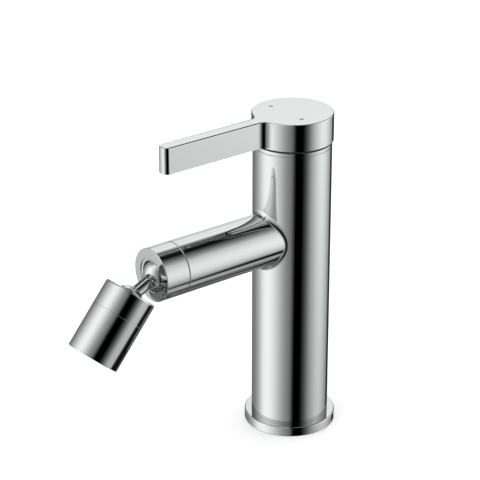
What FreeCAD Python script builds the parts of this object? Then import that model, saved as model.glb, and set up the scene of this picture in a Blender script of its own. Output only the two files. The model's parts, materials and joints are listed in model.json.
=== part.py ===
# Swivel basin tap: one lever above a round column, a level spout, and a spray head on a double ball joint.
# Millimetres. Origin on the column's axis at the basin deck, +Z up, spout and lever point along -Y.
import FreeCAD, Part
import math
import os
import Sketcher

os.makedirs("parts", exist_ok=True)
doc = FreeCAD.newDocument("SwivelBasinTap")
sheet = doc.addObject("Spreadsheet::Sheet", "Sizes")

X_AXIS = FreeCAD.Vector(1, 0, 0)
Y_AXIS = FreeCAD.Vector(0, 1, 0)
KEY_SIDES = 6


# Sizes that stay tied to the sheet

class Size:
    """A number together with the formula that gives it from the sheet's cells."""

    def __init__(self, value, formula):
        self.value = float(value)
        self.formula = formula

    def __add__(self, other):
        return Size(self.value + number(other), "(%s + %s)" % (self.formula, formula(other)))

    def __sub__(self, other):
        return Size(self.value - number(other), "(%s - %s)" % (self.formula, formula(other)))

    def __mul__(self, other):
        return Size(self.value * number(other), "(%s * %s)" % (self.formula, formula(other)))

    def __truediv__(self, other):
        return Size(self.value / number(other), "(%s / %s)" % (self.formula, formula(other)))

    def __neg__(self):
        return Size(-self.value, "(0 - %s)" % self.formula)


def number(item):
    return item.value if isinstance(item, Size) else float(item)


def formula(item):
    return item.formula if isinstance(item, Size) else repr(float(item))


def square_root(item):
    return Size(math.sqrt(item.value), "sqrt(%s)" % item.formula)


def sine(angle):
    return Size(math.sin(math.radians(angle.value)), "sin(%s)" % angle.formula)


def cosine(angle):
    return Size(math.cos(math.radians(angle.value)), "cos(%s)" % angle.formula)


def other_side(slope, side):
    """The second short side of a right triangle with this long side."""
    return square_root(slope * slope - side * side)


sheet_rows = []


def size(name, value, note):
    """Write one driving dimension into the sheet and return it."""
    row = len(sheet_rows) + 1
    sheet_rows.append(name)
    sheet.set("A%d" % row, name)
    sheet.set("B%d" % row, str(value))
    sheet.set("C%d" % row, note)
    sheet.setAlias("B%d" % row, name)
    return Size(value, "Sizes." + name)


# General fits
slip = size("slip", 0.05, "radial gap of a threaded, brazed or slipped joint")
running = size("running", 0.1, "radial gap of faces that turn or slide on each other")
end_gap = size("end_gap", 0.2, "free room at the end of a pin, plug or stem")
edge_break = size("edge_break", 0.3, "round on the bright outer edges")
seam_break = size("seam_break", 0.12, "chamfer on the edges of a seam")
seam_gap = size("seam_gap", 0.55, "width of the shadow groove at a wide seam")
seam_depth = size("seam_depth", 0.5, "depth of that groove")
cut_past = size("cut_past", 1.0, "how far a cut runs on past the face that it leaves through")

# Small o-rings that lie in grooves
ring_section = size("ring_section", 0.6, "half thickness of the small o-rings")
groove_play = size("groove_play", 0.1, "groove beside its o-ring")

# Cartridge, which sets the column's width
cartridge_radius = size("cartridge_radius", 17.5, "35 mm cartridge")
cartridge_gap = size("cartridge_gap", 0.2, "round the cartridge in its bore")
cartridge_wall = size("cartridge_wall", 2.3, "cartridge housing")
thread_step = size("thread_step", 0.7, "M37 thread outside the cartridge bore")
rim_wall = size("rim_wall", 2.6, "column's wall at the M37 thread")
cartridge_inside = cartridge_radius - cartridge_wall
cartridge_bore = cartridge_radius + cartridge_gap
thread_radius = cartridge_bore + thread_step
body_radius = thread_radius + rim_wall

# Base ring and the foot inside it
ring_overhang = size("ring_overhang", 3.8, "base ring beyond the column")
ring_height = size("ring_height", 5.3, "base ring")
foot_inset = size("foot_inset", 3.0, "foot of the column inside the column's surface")
ring_inner_lip = size("ring_inner_lip", 1.35, "base ring inside its gasket")
ring_outer_lip = size("ring_outer_lip", 1.6, "base ring outside its gasket")
gasket_height = size("gasket_height", 1.6, "deck gasket")
foot_groove_floor = size("foot_groove_floor", 2.3, "height of the foot's o-ring groove")
ring_radius = body_radius + ring_overhang
foot_radius = body_radius - foot_inset
gasket_inner = foot_radius + slip + ring_inner_lip
gasket_outer = ring_radius - ring_outer_lip

# Water ways of the column
inlet_spacing = size("inlet_spacing", 16.4, "between the hot and cold inlets")
inlet_forward = size("inlet_forward", 4.0, "inlets, in front of the column's axis")
inlet_thread_radius = size("inlet_thread_radius", 4.5, "M10x1 tapping hole")
inlet_thread_depth = size("inlet_thread_depth", 12.0, "M10x1 thread")
inlet_way_radius = size("inlet_way_radius", 3.0, "risers to the cartridge")
stud_radius = size("stud_radius", 3.4, "M8 tapping hole")
stud_depth = size("stud_depth", 14.0, "M8 thread")
stud_spacing = size("stud_spacing", 24.0, "between the two fixing studs")
outlet_back = size("outlet_back", 6.5, "mixed water port, behind the column's axis")
outlet_way_radius = size("outlet_way_radius", 3.8, "mixed water way")
outlet_way_end = outlet_back + outlet_way_radius

# Cartridge stack, from the spout's axis up to the lever's pivot
spout_height = size("spout_height", 112.1, "axis of the spout above the deck")
seat_rise = size("seat_rise", 11.9, "floor of the cartridge bore above the spout's axis")
base_flange = size("base_flange", 3.0, "cartridge base below the housing")
base_height = size("base_height", 6.0, "cartridge base")
disc_height = size("disc_height", 4.0, "each ceramic disc")
carrier_height = size("carrier_height", 5.2, "disc carrier")
turret_gap = size("turret_gap", 0.4, "between the disc carrier and the turret")
turret_flange_height = size("turret_flange_height", 3.3, "turret's flange")
shoulder_wall = size("shoulder_wall", 3.0, "cartridge housing's shoulder")
pivot_rise = size("pivot_rise", 5.2, "lever's tilting axis above the shoulder")
rim_rise = size("rim_rise", 6.3, "column's upper rim above the lever's tilting axis")
seat_height = spout_height + seat_rise
disc_floor = seat_height + base_height
carrier_floor = disc_floor + disc_height * 2
turret_bottom = carrier_floor + carrier_height + turret_gap
turret_flange_top = turret_bottom + turret_flange_height
shoulder_height = turret_flange_top + running + shoulder_wall
pivot_height = shoulder_height + pivot_rise
body_top = pivot_height + rim_rise

# Column's rim
thread_runout = size("thread_runout", 0.5, "M37 thread below the cartridge's shoulder")
locating_pin_radius = size("locating_pin_radius", 1.2, "cartridge base")
locating_pin_length = size("locating_pin_length", 2.5, "cartridge base")
locating_pin_side = size("locating_pin_side", 11.0, "from the column's axis")
locating_pin_back = size("locating_pin_back", 7.5, "behind the column's axis")

# Double ball joint, which sets the spout's width
ball_radius = size("ball_radius", 8.2, "both balls")
ball_depth = size("ball_depth", 5.0, "first ball's centre behind the spout's end face")
ball_spacing = size("ball_spacing", 22.9, "between the two ball centres")
neck_radius = size("neck_radius", 3.3, "neck between the balls")
neck_bore = size("neck_bore", 1.8, "water way of the neck")
neck_droop = size("neck_droop", 24.8, "degrees below level, as pictured")
head_droop = size("head_droop", 50.0, "degrees below level, as pictured")
seat_wall = size("seat_wall", 1.4, "ball seat")
seat_hole_step = size("seat_hole_step", 0.6, "opening in the spout's end face inside the ball's size")
seat_recess_width = size("seat_recess_width", 1.8, "flat recess round that opening")
seat_recess_depth = size("seat_recess_depth", 0.4, "flat recess round that opening")
seat_back = size("seat_back", 2.5, "ball seat behind the ball's centre")
seat_front = size("seat_front", 3.3, "ball seat before the ball's centre")
seal_section = size("seal_section", 0.9, "half thickness of the ball seals")
seal_inset = size("seal_inset", 2.0, "seal behind the first ball, inside the ball's size")
retainer_wall = size("retainer_wall", 1.5, "behind the first ball's seal")
retainer_lip = size("retainer_lip", 1.2, "retainer inside the seal's circle")
retainer_rim_gap = size("retainer_rim_gap", 0.2, "retainer's rim round the ball and behind its seat")
retainer_step = size("retainer_step", 4.5, "step of the retainer behind the ball's centre")
seat_radius = ball_radius + seat_wall
seat_hole_radius = ball_radius - seat_hole_step
ball_seal_radius = ball_radius - seal_inset
retainer_bore = ball_seal_radius - retainer_lip

# Spout
collar_wall = size("collar_wall", 2.4, "end collar's thread round the ball seat")
collar_length = size("collar_length", 14.4, "bright part of the end collar")
collar_plug_length = size("collar_plug_length", 9.0, "part of the collar screwed into the spout")
collar_groove_start = size("collar_groove_start", 1.6, "collar's o-ring groove from the plug's end")
spout_reach = size("spout_reach", 92.3, "column's axis to the spout's end face")
spout_wall = size("spout_wall", 2.0, "spout")
spout_plug_step = size("spout_plug_step", 4.2, "brazed plug inside the spout's surface")
spout_plug_start = size("spout_plug_start", 9.2, "brazed plug, from the column's axis")
spout_plug_wall = size("spout_plug_wall", 5.0, "wall behind the spout's bore")
spout_root_radius = size("spout_root_radius", 3.0, "hollow corner where the spout meets the column")
spout_root_lap = size("spout_root_lap", 0.2, "that corner's circle under the column's surface")
spout_seam = spout_reach - collar_length
spout_bore = seat_radius + collar_wall
spout_radius = spout_bore + spout_wall
spout_plug_radius = spout_radius - spout_plug_step

# Second ball, which turns on the end of the neck
stub_step = size("stub_step", 0.4, "turned-down end of the neck")
shoulder_sink = size("shoulder_sink", 0.69, "neck's shoulder inside the second ball")
nut_step = size("nut_step", 1.0, "nut beyond the neck's end")
nut_length = size("nut_length", 1.4, "nut on the neck's end")
nut_room = size("nut_room", 0.3, "opening below the second ball, round the nut")
nut_sink = size("nut_sink", 0.65, "nut inside that opening")
neck_groove_drop = size("neck_groove_drop", 4.1, "neck's o-ring groove before the second ball's centre")
stub_radius = neck_radius - stub_step
stub_shoulder = other_side(ball_radius, neck_radius) - shoulder_sink
nut_radius = stub_radius + nut_step
ball_mouth = nut_radius + nut_room
stub_end = other_side(ball_radius, ball_mouth) - nut_sink

# Spray head
head_seat_wall = size("head_seat_wall", 2.3, "ball seat in the head")
head_thread_step = size("head_thread_step", 1.0, "thread between the shells, outside that seat")
head_wall = size("head_wall", 2.5, "upper shell round the thread")
head_top = size("head_top", 5.1, "head's top face before the second ball's centre")
head_seam = size("head_seam", 8.3, "seam past the second ball's centre")
head_end = size("head_end", 33.4, "outlet rim past the second ball's centre")
head_roof = size("head_roof", 1.8, "thickness of the head's top")
head_round = size("head_round", 0.9, "round on the head's upper edge")
head_roof_gap = size("head_roof_gap", 0.3, "head's top round the ball")
head_hole_rim = size("head_hole_rim", 0.28, "edge of the opening in the head's top")
head_hole_lip = size("head_hole_lip", 0.35, "flare of that opening")
head_seat_bottom = size("head_seat_bottom", 3.0, "ball seat past the ball's centre")
head_seal_inset = size("head_seal_inset", 0.4, "seal below the second ball, inside the ball's size")
head_throat_lip = size("head_throat_lip", 0.8, "water way inside the seal's circle")
head_chamber = size("head_chamber", 9.0, "chamber above the aerator")
chamber_start = size("chamber_start", 10.0, "past the second ball's centre")
throat_flare = size("throat_flare", 1.4, "slope from the throat to the chamber")
head_groove_gap = size("head_groove_gap", 0.8, "between the head's o-ring groove and its seam")
head_hollow = ball_radius + head_roof_gap
head_hole_radius = other_side(head_hollow, head_top - head_hole_rim)
head_seat_radius = ball_radius + head_seat_wall
head_thread_radius = head_seat_radius + head_thread_step
head_radius = head_thread_radius + head_wall
head_seal_radius = ball_radius - head_seal_inset
head_throat = head_seal_radius - head_throat_lip

# Aerator
aerator_radius = size("aerator_radius", 11.8, "M24x1 bore of the head's outlet")
aerator_recess = size("aerator_recess", 1.3, "aerator behind the outlet rim")
aerator_wall = size("aerator_wall", 1.7, "aerator housing")
aerator_lip = size("aerator_lip", 0.8, "inner lip of the aerator housing")
aerator_lip_height = size("aerator_lip_height", 1.0, "inner lip of the aerator housing")
washer_width = size("washer_width", 2.6, "aerator washer inside the bore")
washer_height = size("washer_height", 1.4, "aerator washer")
screen_room = size("screen_room", 0.9, "between the washer and the screen")
screen_height = size("screen_height", 0.8, "aerator screen")
insert_height = size("insert_height", 9.6, "aerator insert")
jet_radius = size("jet_radius", 0.85, "holes of the aerator insert")
jet_ring_step = size("jet_ring_step", 2.6, "between rings of holes")
key_width = size("key_width", 1.7, "key notches of the aerator housing")
aerator_bore = aerator_radius - aerator_wall
aerator_end = head_end - aerator_recess
insert_end = aerator_end - aerator_lip_height
insert_start = insert_end - insert_height
screen_start = insert_start - screen_height
washer_end = screen_start - screen_room
aerator_start = washer_end - washer_height

# Dome ring under the handle
dome_band = size("dome_band", 2.2, "bright band between column and handle")
dome_wall = size("dome_wall", 1.8, "dome")
dome_skirt_wall = size("dome_skirt_wall", 1.85, "dome ring's thread")
dome_skirt_length = size("dome_skirt_length", 3.5, "dome ring's thread in the column")
dome_opening_angle = size("dome_opening_angle", 45.5, "degrees between the column's axis and the opening")
dome_shoulder = body_top + dome_band
dome_shoulder_rise = dome_shoulder - pivot_height
dome_radius = square_root(body_radius * body_radius + dome_shoulder_rise * dome_shoulder_rise)
dome_skirt_bore = thread_radius - slip - dome_skirt_wall
wiper_inset = size("wiper_inset", 0.25, "wiper ring behind the column's surface")
wiper_wall = size("wiper_wall", 0.8, "wiper ring between dome and handle")
wiper_rise = size("wiper_rise", 0.1, "wiper ring above the dome's surface")
wiper_radius = body_radius - wiper_inset
wiper_seat = wiper_radius - wiper_wall

# Lever handle
cap_gap = size("cap_gap", 1.3, "between the bright band and the cap")
cap_clearance = size("cap_clearance", 0.3, "between the dome and the hollow of the handle")
cap_overhang = size("cap_overhang", 0.7, "cap beyond the column")
cap_height = size("cap_height", 14.7, "round cap of the handle")
blade_rise = size("blade_rise", 0.6, "blade's underside above the cap's")
blade_reach = size("blade_reach", 84.9, "column's axis to the blade's tip")
blade_width = size("blade_width", 7.5, "blade")
blade_root_radius = size("blade_root_radius", 6.0, "hollow corner where the blade meets the cap")
blade_nose_radius = size("blade_nose_radius", 9.0, "gentle curve across the middle of the blade's tip")
blade_tip_radius = size("blade_tip_radius", 2.2, "upright rounds beside that curve")
blade_facet_width = size("blade_facet_width", 0.79, "part of the blade's width in each facet of its tip")
blade_facet_angle = size("blade_facet_angle", 60.0, "degrees that a facet is turned from the face of the tip")
blade_root_depth = size("blade_root_depth", 4.0, "blade's root inside the cap's edge")
boss_radius = size("boss_radius", 7.0, "stem boss inside the handle")
boss_bottom = size("boss_bottom", 16.0, "stem boss above the pivot")
mark_side = size("mark_side", 12.5, "hot and cold marks beside the axis")
mark_forward = size("mark_forward", 4.5, "hot and cold marks before the axis")
mark_radius = size("mark_radius", 1.15, "hot and cold marks")
mark_depth = size("mark_depth", 0.4, "hot and cold marks")
set_screw_radius = size("set_screw_radius", 2.0, "M4 set screw")
set_screw_length = size("set_screw_length", 3.4, "M4 set screw")
set_screw_up = size("set_screw_up", 3.0, "set screw above the boss's lower end")
screw_key_radius = size("screw_key_radius", 1.0, "hexagon of the set screw")
screw_key_depth = size("screw_key_depth", 1.7, "hexagon of the set screw")
plug_step = size("plug_step", 0.6, "plug beyond the set screw")
plug_length = size("plug_length", 2.8, "plug over the set screw")
plug_inset = size("plug_inset", 0.1, "plug behind the cap's surface")
cap_bottom = dome_shoulder + cap_gap
handle_top = cap_bottom + cap_height
handle_radius = body_radius + cap_overhang
blade_height = cap_height - blade_rise
set_screw_height = pivot_height + boss_bottom + set_screw_up
plug_radius = set_screw_radius + plug_step

# Inside of the cartridge
port_seal_section = size("port_seal_section", 0.75, "half thickness of the port seals")
port_seal_radius = size("port_seal_radius", 4.1, "port seals")
fixed_disc_room = size("fixed_disc_room", 1.4, "housing round the lower ceramic disc")
disc_port_radius = size("disc_port_radius", 2.8, "ports of the lower ceramic disc")
disc_gap = size("disc_gap", 0.02, "water film between the discs")
disc_shift = size("disc_shift", 2.9, "closed upper disc behind the column's axis")
moving_disc_room = size("moving_disc_room", 0.8, "housing round the shifted upper disc")
mixing_radius = size("mixing_radius", 7.0, "mixing chamber in the upper disc")
mixing_depth = size("mixing_depth", 2.2, "mixing chamber in the upper disc")
mixing_back = size("mixing_back", 1.5, "mixing chamber behind the disc's centre")
carrier_flat_cut = size("carrier_flat_cut", 2.1, "guided flats of the carrier")
turret_radius = size("turret_radius", 12.5, "turret that turns in the housing")
turret_neck_wall = size("turret_neck_wall", 2.0, "housing round the turret")
turret_neck_height = size("turret_neck_height", 8.0, "housing round the turret")
turret_top_rise = size("turret_top_rise", 4.3, "turret above the pivot")
turret_flange_room = size("turret_flange_room", 0.3, "housing round the turret's flange")
rail_width = size("rail_width", 3.0, "guide rails below the turret")
rail_length = size("rail_length", 15.0, "guide rails below the turret")
rail_gap = size("rail_gap", 0.2, "rails beside the carrier")
rail_foot_gap = size("rail_foot_gap", 1.2, "rails above the upper disc")
slot_front = size("slot_front", 9.4, "turret's slot before the axis")
slot_back = size("slot_back", 7.0, "turret's slot behind the axis")
turret_groove_drop = size("turret_groove_drop", 3.0, "turret's o-ring below the pivot")
nut_height = size("nut_height", 6.5, "cartridge nut")
nut_slot_width = size("nut_slot_width", 4.0, "wrench slots of the cartridge nut")
nut_slot_depth = size("nut_slot_depth", 2.0, "wrench slots of the cartridge nut")
fixed_disc_radius = cartridge_inside - fixed_disc_room
moving_disc_radius = cartridge_inside - disc_shift - moving_disc_room
carrier_flat = moving_disc_radius - carrier_flat_cut
turret_top = pivot_height + turret_top_rise
turret_flange_radius = cartridge_inside - turret_flange_room
rail_drop = carrier_height + turret_gap - rail_foot_gap

# Cartridge stem
stem_width = size("stem_width", 8.0, "square stem")
stem_top = size("stem_top", 21.6, "stem above the pivot")
stem_hub_radius = size("stem_hub_radius", 4.3, "stem round the pivot pin")
stem_arm_radius = size("stem_arm_radius", 1.8, "stem below the pivot")
stem_ball_radius = size("stem_ball_radius", 2.9, "stem's lower ball")
stem_ball_gap = size("stem_ball_gap", 0.25, "stem's lower ball in the carrier")
stem_ball_rise = size("stem_ball_rise", 0.3, "stem's lower ball above the upper disc")
pin_radius = size("pin_radius", 1.5, "pivot pin")
pin_inset = size("pin_inset", 0.7, "pivot pin's ends inside the turret")
stem_arm = pivot_height - carrier_floor - stem_ball_radius - stem_ball_rise
pin_length = (turret_radius - pin_inset) * 2

doc.recompute()


# Helpers that build PartDesign bodies

def tie(item, prop, amount):
    """Bind one property to the sheet, or set it when it is a plain number."""
    if isinstance(amount, Size):
        item.setExpression(prop, amount.formula)
    else:
        item.setExpression(prop, repr(float(amount)))


def new_body(name):
    body = doc.addObject("PartDesign::Body", name)
    body.Label = name
    return body


def place(item, at=(0, 0, 0), axis=None, angle=0):
    """Put a sub-part at its place in the tap, turned about one axis."""
    turn = FreeCAD.Rotation(axis, number(angle)) if axis else FreeCAD.Rotation()
    item.Placement = FreeCAD.Placement(FreeCAD.Vector(*[number(c) for c in at]), turn)
    for letter, amount in zip("xyz", at):
        if isinstance(amount, Size):
            tie(item, "Placement.Base." + letter, amount)
    if isinstance(angle, Size):
        tie(item, "Placement.Rotation.Angle", angle)


def new_sketch(body, plane, name, lift=0):
    """A sketch on one origin plane of the body, moved along that plane's normal."""
    sketch = body.newObject("Sketcher::SketchObject", name)
    for feature in body.Origin.OriginFeatures:
        if feature.Role == plane:
            sketch.AttachmentSupport = (feature, [""])
    sketch.MapMode = "FlatFace"
    if isinstance(lift, Size):
        tie(sketch, "AttachmentOffset.Base.z", lift)
    return sketch


def constrain(sketch, kind, amount, *places):
    """Add a measured constraint and tie it to the sheet."""
    index = sketch.addConstraint(Sketcher.Constraint(kind, *places, number(amount)))
    if isinstance(amount, Size):
        sketch.setExpression("Constraints[%d]" % index, amount.formula)


def fix_width(sketch, shape, end, across):
    """Hold a point at its distance across from the sketch's origin."""
    if number(across) == 0:
        sketch.addConstraint(Sketcher.Constraint("PointOnObject", shape, end, -2))
    else:
        constrain(sketch, "DistanceX", across, -1, 1, shape, end)


def fix_height(sketch, shape, end, up):
    """Hold a point at its distance up from the sketch's origin."""
    if number(up) == 0:
        sketch.addConstraint(Sketcher.Constraint("PointOnObject", shape, end, -1))
    else:
        constrain(sketch, "DistanceY", up, -1, 1, shape, end)


def fix_point(sketch, shape, end, across, up):
    fix_width(sketch, shape, end, across)
    fix_height(sketch, shape, end, up)


def outline(sketch, corners):
    """Draw a closed outline.

    A corner is (across, up). A corner that an arc leads to is (across, up, centre, turn): the centre is
    (across, up) too, and turn is "left" for an anticlockwise arc and "right" for a clockwise one.
    """
    spots = [FreeCAD.Vector(number(corner[0]), number(corner[1]), 0) for corner in corners]
    pieces = []
    for index, corner in enumerate(corners):
        start = spots[index - 1]
        end = spots[index]
        if len(corner) == 2:
            shape = sketch.addGeometry(Part.LineSegment(start, end), False)
            pieces.append((shape, 1, 2))
            continue
        centre = FreeCAD.Vector(number(corner[2][0]), number(corner[2][1]), 0)
        circle = Part.Circle(centre, FreeCAD.Vector(0, 0, 1), (start - centre).Length)
        angles = [math.atan2(spot.y - centre.y, spot.x - centre.x) for spot in (start, end)]
        if corner[3] == "right":
            angles.reverse()
        shape = sketch.addGeometry(Part.ArcOfCircle(circle, angles[0], angles[1]), False)
        pieces.append((shape, 1, 2) if corner[3] == "left" else (shape, 2, 1))
        fix_point(sketch, shape, 3, corner[2][0], corner[2][1])
    for index, corner in enumerate(corners):
        shape, start, end = pieces[index]
        next_shape, next_start, _ = pieces[(index + 1) % len(corners)]
        sketch.addConstraint(Sketcher.Constraint("Coincident", shape, end, next_shape, next_start))
        if len(corner) == 2:
            fix_point(sketch, shape, end, corner[0], corner[1])
        elif abs(spots[index].x - number(corner[2][0])) > abs(spots[index].y - number(corner[2][1])):
            fix_height(sketch, shape, end, corner[1])
        else:
            fix_width(sketch, shape, end, corner[0])


def circles(sketch, radius, centres):
    """Draw equal circles at these centres."""
    for across, up in centres:
        middle = FreeCAD.Vector(number(across), number(up), 0)
        shape = sketch.addGeometry(Part.Circle(middle, FreeCAD.Vector(0, 0, 1), number(radius)), False)
        constrain(sketch, "Radius", radius, shape)
        fix_point(sketch, shape, 3, across, up)


def rectangle(left, right, front, back):
    return [(left, front), (right, front), (right, back), (left, back)]


def turned(body, corners, name="Turned"):
    """Turn an outline of (radius, height) corners round the body's Z axis."""
    sketch = new_sketch(body, "XZ_Plane", name + "Outline")
    outline(sketch, corners)
    feature = body.newObject("PartDesign::Revolution", name)
    feature.Profile = sketch
    feature.ReferenceAxis = (sketch, ["V_Axis"])
    feature.Angle = 360
    return feature


def grooved(body, corners, name):
    """Cut a turned hollow of (radius, height) corners out of the body."""
    sketch = new_sketch(body, "XZ_Plane", name + "Outline")
    outline(sketch, corners)
    feature = body.newObject("PartDesign::Groove", name)
    feature.Profile = sketch
    feature.ReferenceAxis = (sketch, ["V_Axis"])
    feature.Angle = 360
    return feature


def pad(body, name, plane, lift, length, draw, midplane=False, against=False):
    """Grow material from a sketch; against grows it against the plane's normal."""
    sketch = new_sketch(body, plane, name + "Sketch", lift)
    draw(sketch)
    feature = body.newObject("PartDesign::Pad", name)
    feature.Profile = sketch
    tie(feature, "Length", length)
    feature.Midplane = midplane
    feature.Reversed = against
    return feature


def pocket(body, name, plane, lift, depth, draw, midplane=False, along=False):
    """Cut from a sketch; it cuts against the plane's normal, or along it."""
    sketch = new_sketch(body, plane, name + "Sketch", lift)
    draw(sketch)
    feature = body.newObject("PartDesign::Pocket", name)
    feature.Profile = sketch
    tie(feature, "Length", depth)
    feature.Midplane = midplane
    feature.Reversed = along
    return feature


def pick_edges(body, wanted):
    """Names of the tip's edges for which wanted(edge) is true."""
    doc.recompute()
    tip = body.Tip
    names = ["Edge%d" % (index + 1) for index, edge in enumerate(tip.Shape.Edges) if wanted(edge)]
    return tip, names


def soften(body, kind, name, amount, wanted):
    """Chamfer or fillet the edges that wanted picks."""
    tip, names = pick_edges(body, wanted)
    feature = body.newObject("PartDesign::" + kind, name)
    feature.Base = (tip, names)
    tie(feature, "Size" if kind == "Chamfer" else "Radius", amount)
    return feature


def rim(radius, height):
    """Matches a whole round edge of this radius at this height on the body's Z axis."""
    def wanted(edge):
        curve = edge.Curve
        return (isinstance(curve, Part.Circle) and abs(curve.Radius - number(radius)) < 1e-4
                and abs(curve.Center.z - number(height)) < 1e-4)
    return wanted


def o_ring(name, centre_radius, section, at=(0, 0, 0), axis=None, angle=0):
    """An o-ring as a torus about its own Z axis."""
    ring = doc.addObject("Part::Torus", name)
    ring.Label = name
    tie(ring, "Radius1", centre_radius)
    tie(ring, "Radius2", section)
    place(ring, at, axis, angle)
    return ring


def along_spout(distance):
    """A point on the spout's axis, this far from the column's axis."""
    return (0, -distance, spout_height)


# Places and directions of the double ball joint, in the plane x = 0
SPOUT_TURN = Size(90.0, "90")
NECK_TURN = neck_droop + SPOUT_TURN
HEAD_TURN = head_droop + SPOUT_TURN
first_ball_reach = spout_reach - ball_depth
FIRST_BALL = along_spout(first_ball_reach)
SECOND_BALL = (0, -(first_ball_reach + ball_spacing * cosine(neck_droop)),
               spout_height - ball_spacing * sine(neck_droop))


def past_second_ball(distance, droop):
    """A point this far past the second ball's centre, along an axis that droops below level."""
    return (0, SECOND_BALL[1] - distance * cosine(droop), SECOND_BALL[2] - distance * sine(droop))


def on_neck(distance):
    return past_second_ball(distance, neck_droop)


def on_head(distance):
    return past_second_ball(distance, head_droop)


inlet_side = inlet_spacing / 2
inlets = [(-inlet_side, -inlet_forward), (inlet_side, -inlet_forward)]
ports = inlets + [(0, outlet_back)]
locating_pins = [(-locating_pin_side, locating_pin_back), (locating_pin_side, locating_pin_back)]
ring_groove_height = ring_section * 2 + groove_play
ring_groove_depth = ring_section * 2


# Base ring, its gasket and the o-ring that holds it on the foot

def make_base_ring():
    body = new_body("base_ring")
    bore = foot_radius + slip
    turned(body, [(bore, 0), (gasket_inner, 0), (gasket_inner, gasket_height), (gasket_outer, gasket_height),
                  (gasket_outer, 0), (ring_radius, 0), (ring_radius, ring_height), (bore, ring_height)])
    soften(body, "Fillet", "TopEdge", edge_break * 2, rim(ring_radius, ring_height))
    gasket = new_body("base_gasket")
    turned(gasket, [(gasket_inner, 0), (gasket_outer, 0), (gasket_outer, gasket_height),
                    (gasket_inner, gasket_height)])
    o_ring("foot_o_ring", foot_radius - ring_section, ring_section,
           (0, 0, foot_groove_floor + ring_groove_height / 2))


# Column: one brass casting with its water ways

def make_column():
    body = new_body("column_body")
    thread_floor = shoulder_height - thread_runout
    groove_radius = foot_radius - ring_groove_depth
    groove_top = foot_groove_floor + ring_groove_height
    turned(body, [(0, 0), (foot_radius, 0), (foot_radius, foot_groove_floor),
                  (groove_radius, foot_groove_floor), (groove_radius, groove_top), (foot_radius, groove_top),
                  (foot_radius, ring_height), (body_radius, ring_height), (body_radius, body_top),
                  (thread_radius, body_top), (thread_radius, thread_floor), (cartridge_bore, thread_floor),
                  (cartridge_bore, seat_height), (0, seat_height)])
    pocket(body, "InletThreads", "XY_Plane", 0, inlet_thread_depth,
           lambda sketch: circles(sketch, inlet_thread_radius, inlets), along=True)
    pocket(body, "InletWays", "XY_Plane", 0, seat_height + cut_past,
           lambda sketch: circles(sketch, inlet_way_radius, inlets), along=True)
    pocket(body, "StudHoles", "XY_Plane", 0, stud_depth,
           lambda sketch: circles(sketch, stud_radius, [(0, -(stud_spacing / 2)), (0, stud_spacing / 2)]),
           along=True)
    pocket(body, "OutletPort", "XY_Plane", seat_height, seat_height - spout_height,
           lambda sketch: circles(sketch, outlet_way_radius, [(0, outlet_back)]))
    pocket(body, "OutletWay", "XZ_Plane", -outlet_way_end, outlet_way_end + body_radius,
           lambda sketch: circles(sketch, outlet_way_radius, [(0, spout_height)]), along=True)
    pocket(body, "SpoutSocket", "XZ_Plane", spout_plug_start - slip, body_radius,
           lambda sketch: circles(sketch, spout_plug_radius + slip, [(0, spout_height)]), along=True)
    pocket(body, "LocatingHoles", "XY_Plane", seat_height, locating_pin_length + end_gap,
           lambda sketch: circles(sketch, locating_pin_radius + slip, locating_pins))
    soften(body, "Chamfer", "TopEdge", seam_break, rim(body_radius, body_top))


# Spout: a tube coped to the column, its local Z axis pointing away from the column

def make_spout():
    body = new_body("spout_tube")
    hidden_start = (spout_plug_start + body_radius) / 2 - slip
    skin = body_radius - spout_root_lap
    flare_height = (spout_radius + spout_root_radius + cut_past) * 2
    pad(body, "Tube", "XY_Plane", hidden_start, spout_seam - hidden_start,
        lambda sketch: circles(sketch, spout_radius, [(0, 0)]))
    pad(body, "ColumnStandIn", "XZ_Plane", 0, flare_height,
        lambda sketch: circles(sketch, skin, [(0, 0)]), midplane=True)
    soften(body, "Fillet", "RootFlare", spout_root_radius,
           lambda edge: all(abs(math.hypot(spot.x, spot.y) - number(spout_radius)) < 1e-3
                            and abs(math.hypot(spot.x, spot.z) - number(skin)) < 1e-3
                            for spot in edge.discretize(6)))
    pocket(body, "ColumnCope", "XZ_Plane", 0, flare_height + cut_past * 2,
           lambda sketch: circles(sketch, body_radius + slip, [(0, 0)]), midplane=True)
    pad(body, "Plug", "XY_Plane", spout_plug_start, body_radius + spout_plug_wall - spout_plug_start,
        lambda sketch: circles(sketch, spout_plug_radius, [(0, 0)]))
    pocket(body, "WaterWay", "XY_Plane", spout_plug_start, body_radius + spout_plug_wall,
           lambda sketch: circles(sketch, outlet_way_radius, [(0, 0)]), along=True)
    bore_start = body_radius + spout_plug_wall
    pocket(body, "Bore", "XY_Plane", bore_start, spout_seam - bore_start + cut_past,
           lambda sketch: circles(sketch, spout_bore, [(0, 0)]), along=True)
    soften(body, "Chamfer", "SeamEdge", seam_break, rim(spout_radius, spout_seam))
    place(body, along_spout(Size(0, "0")), X_AXIS, SPOUT_TURN)


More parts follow.
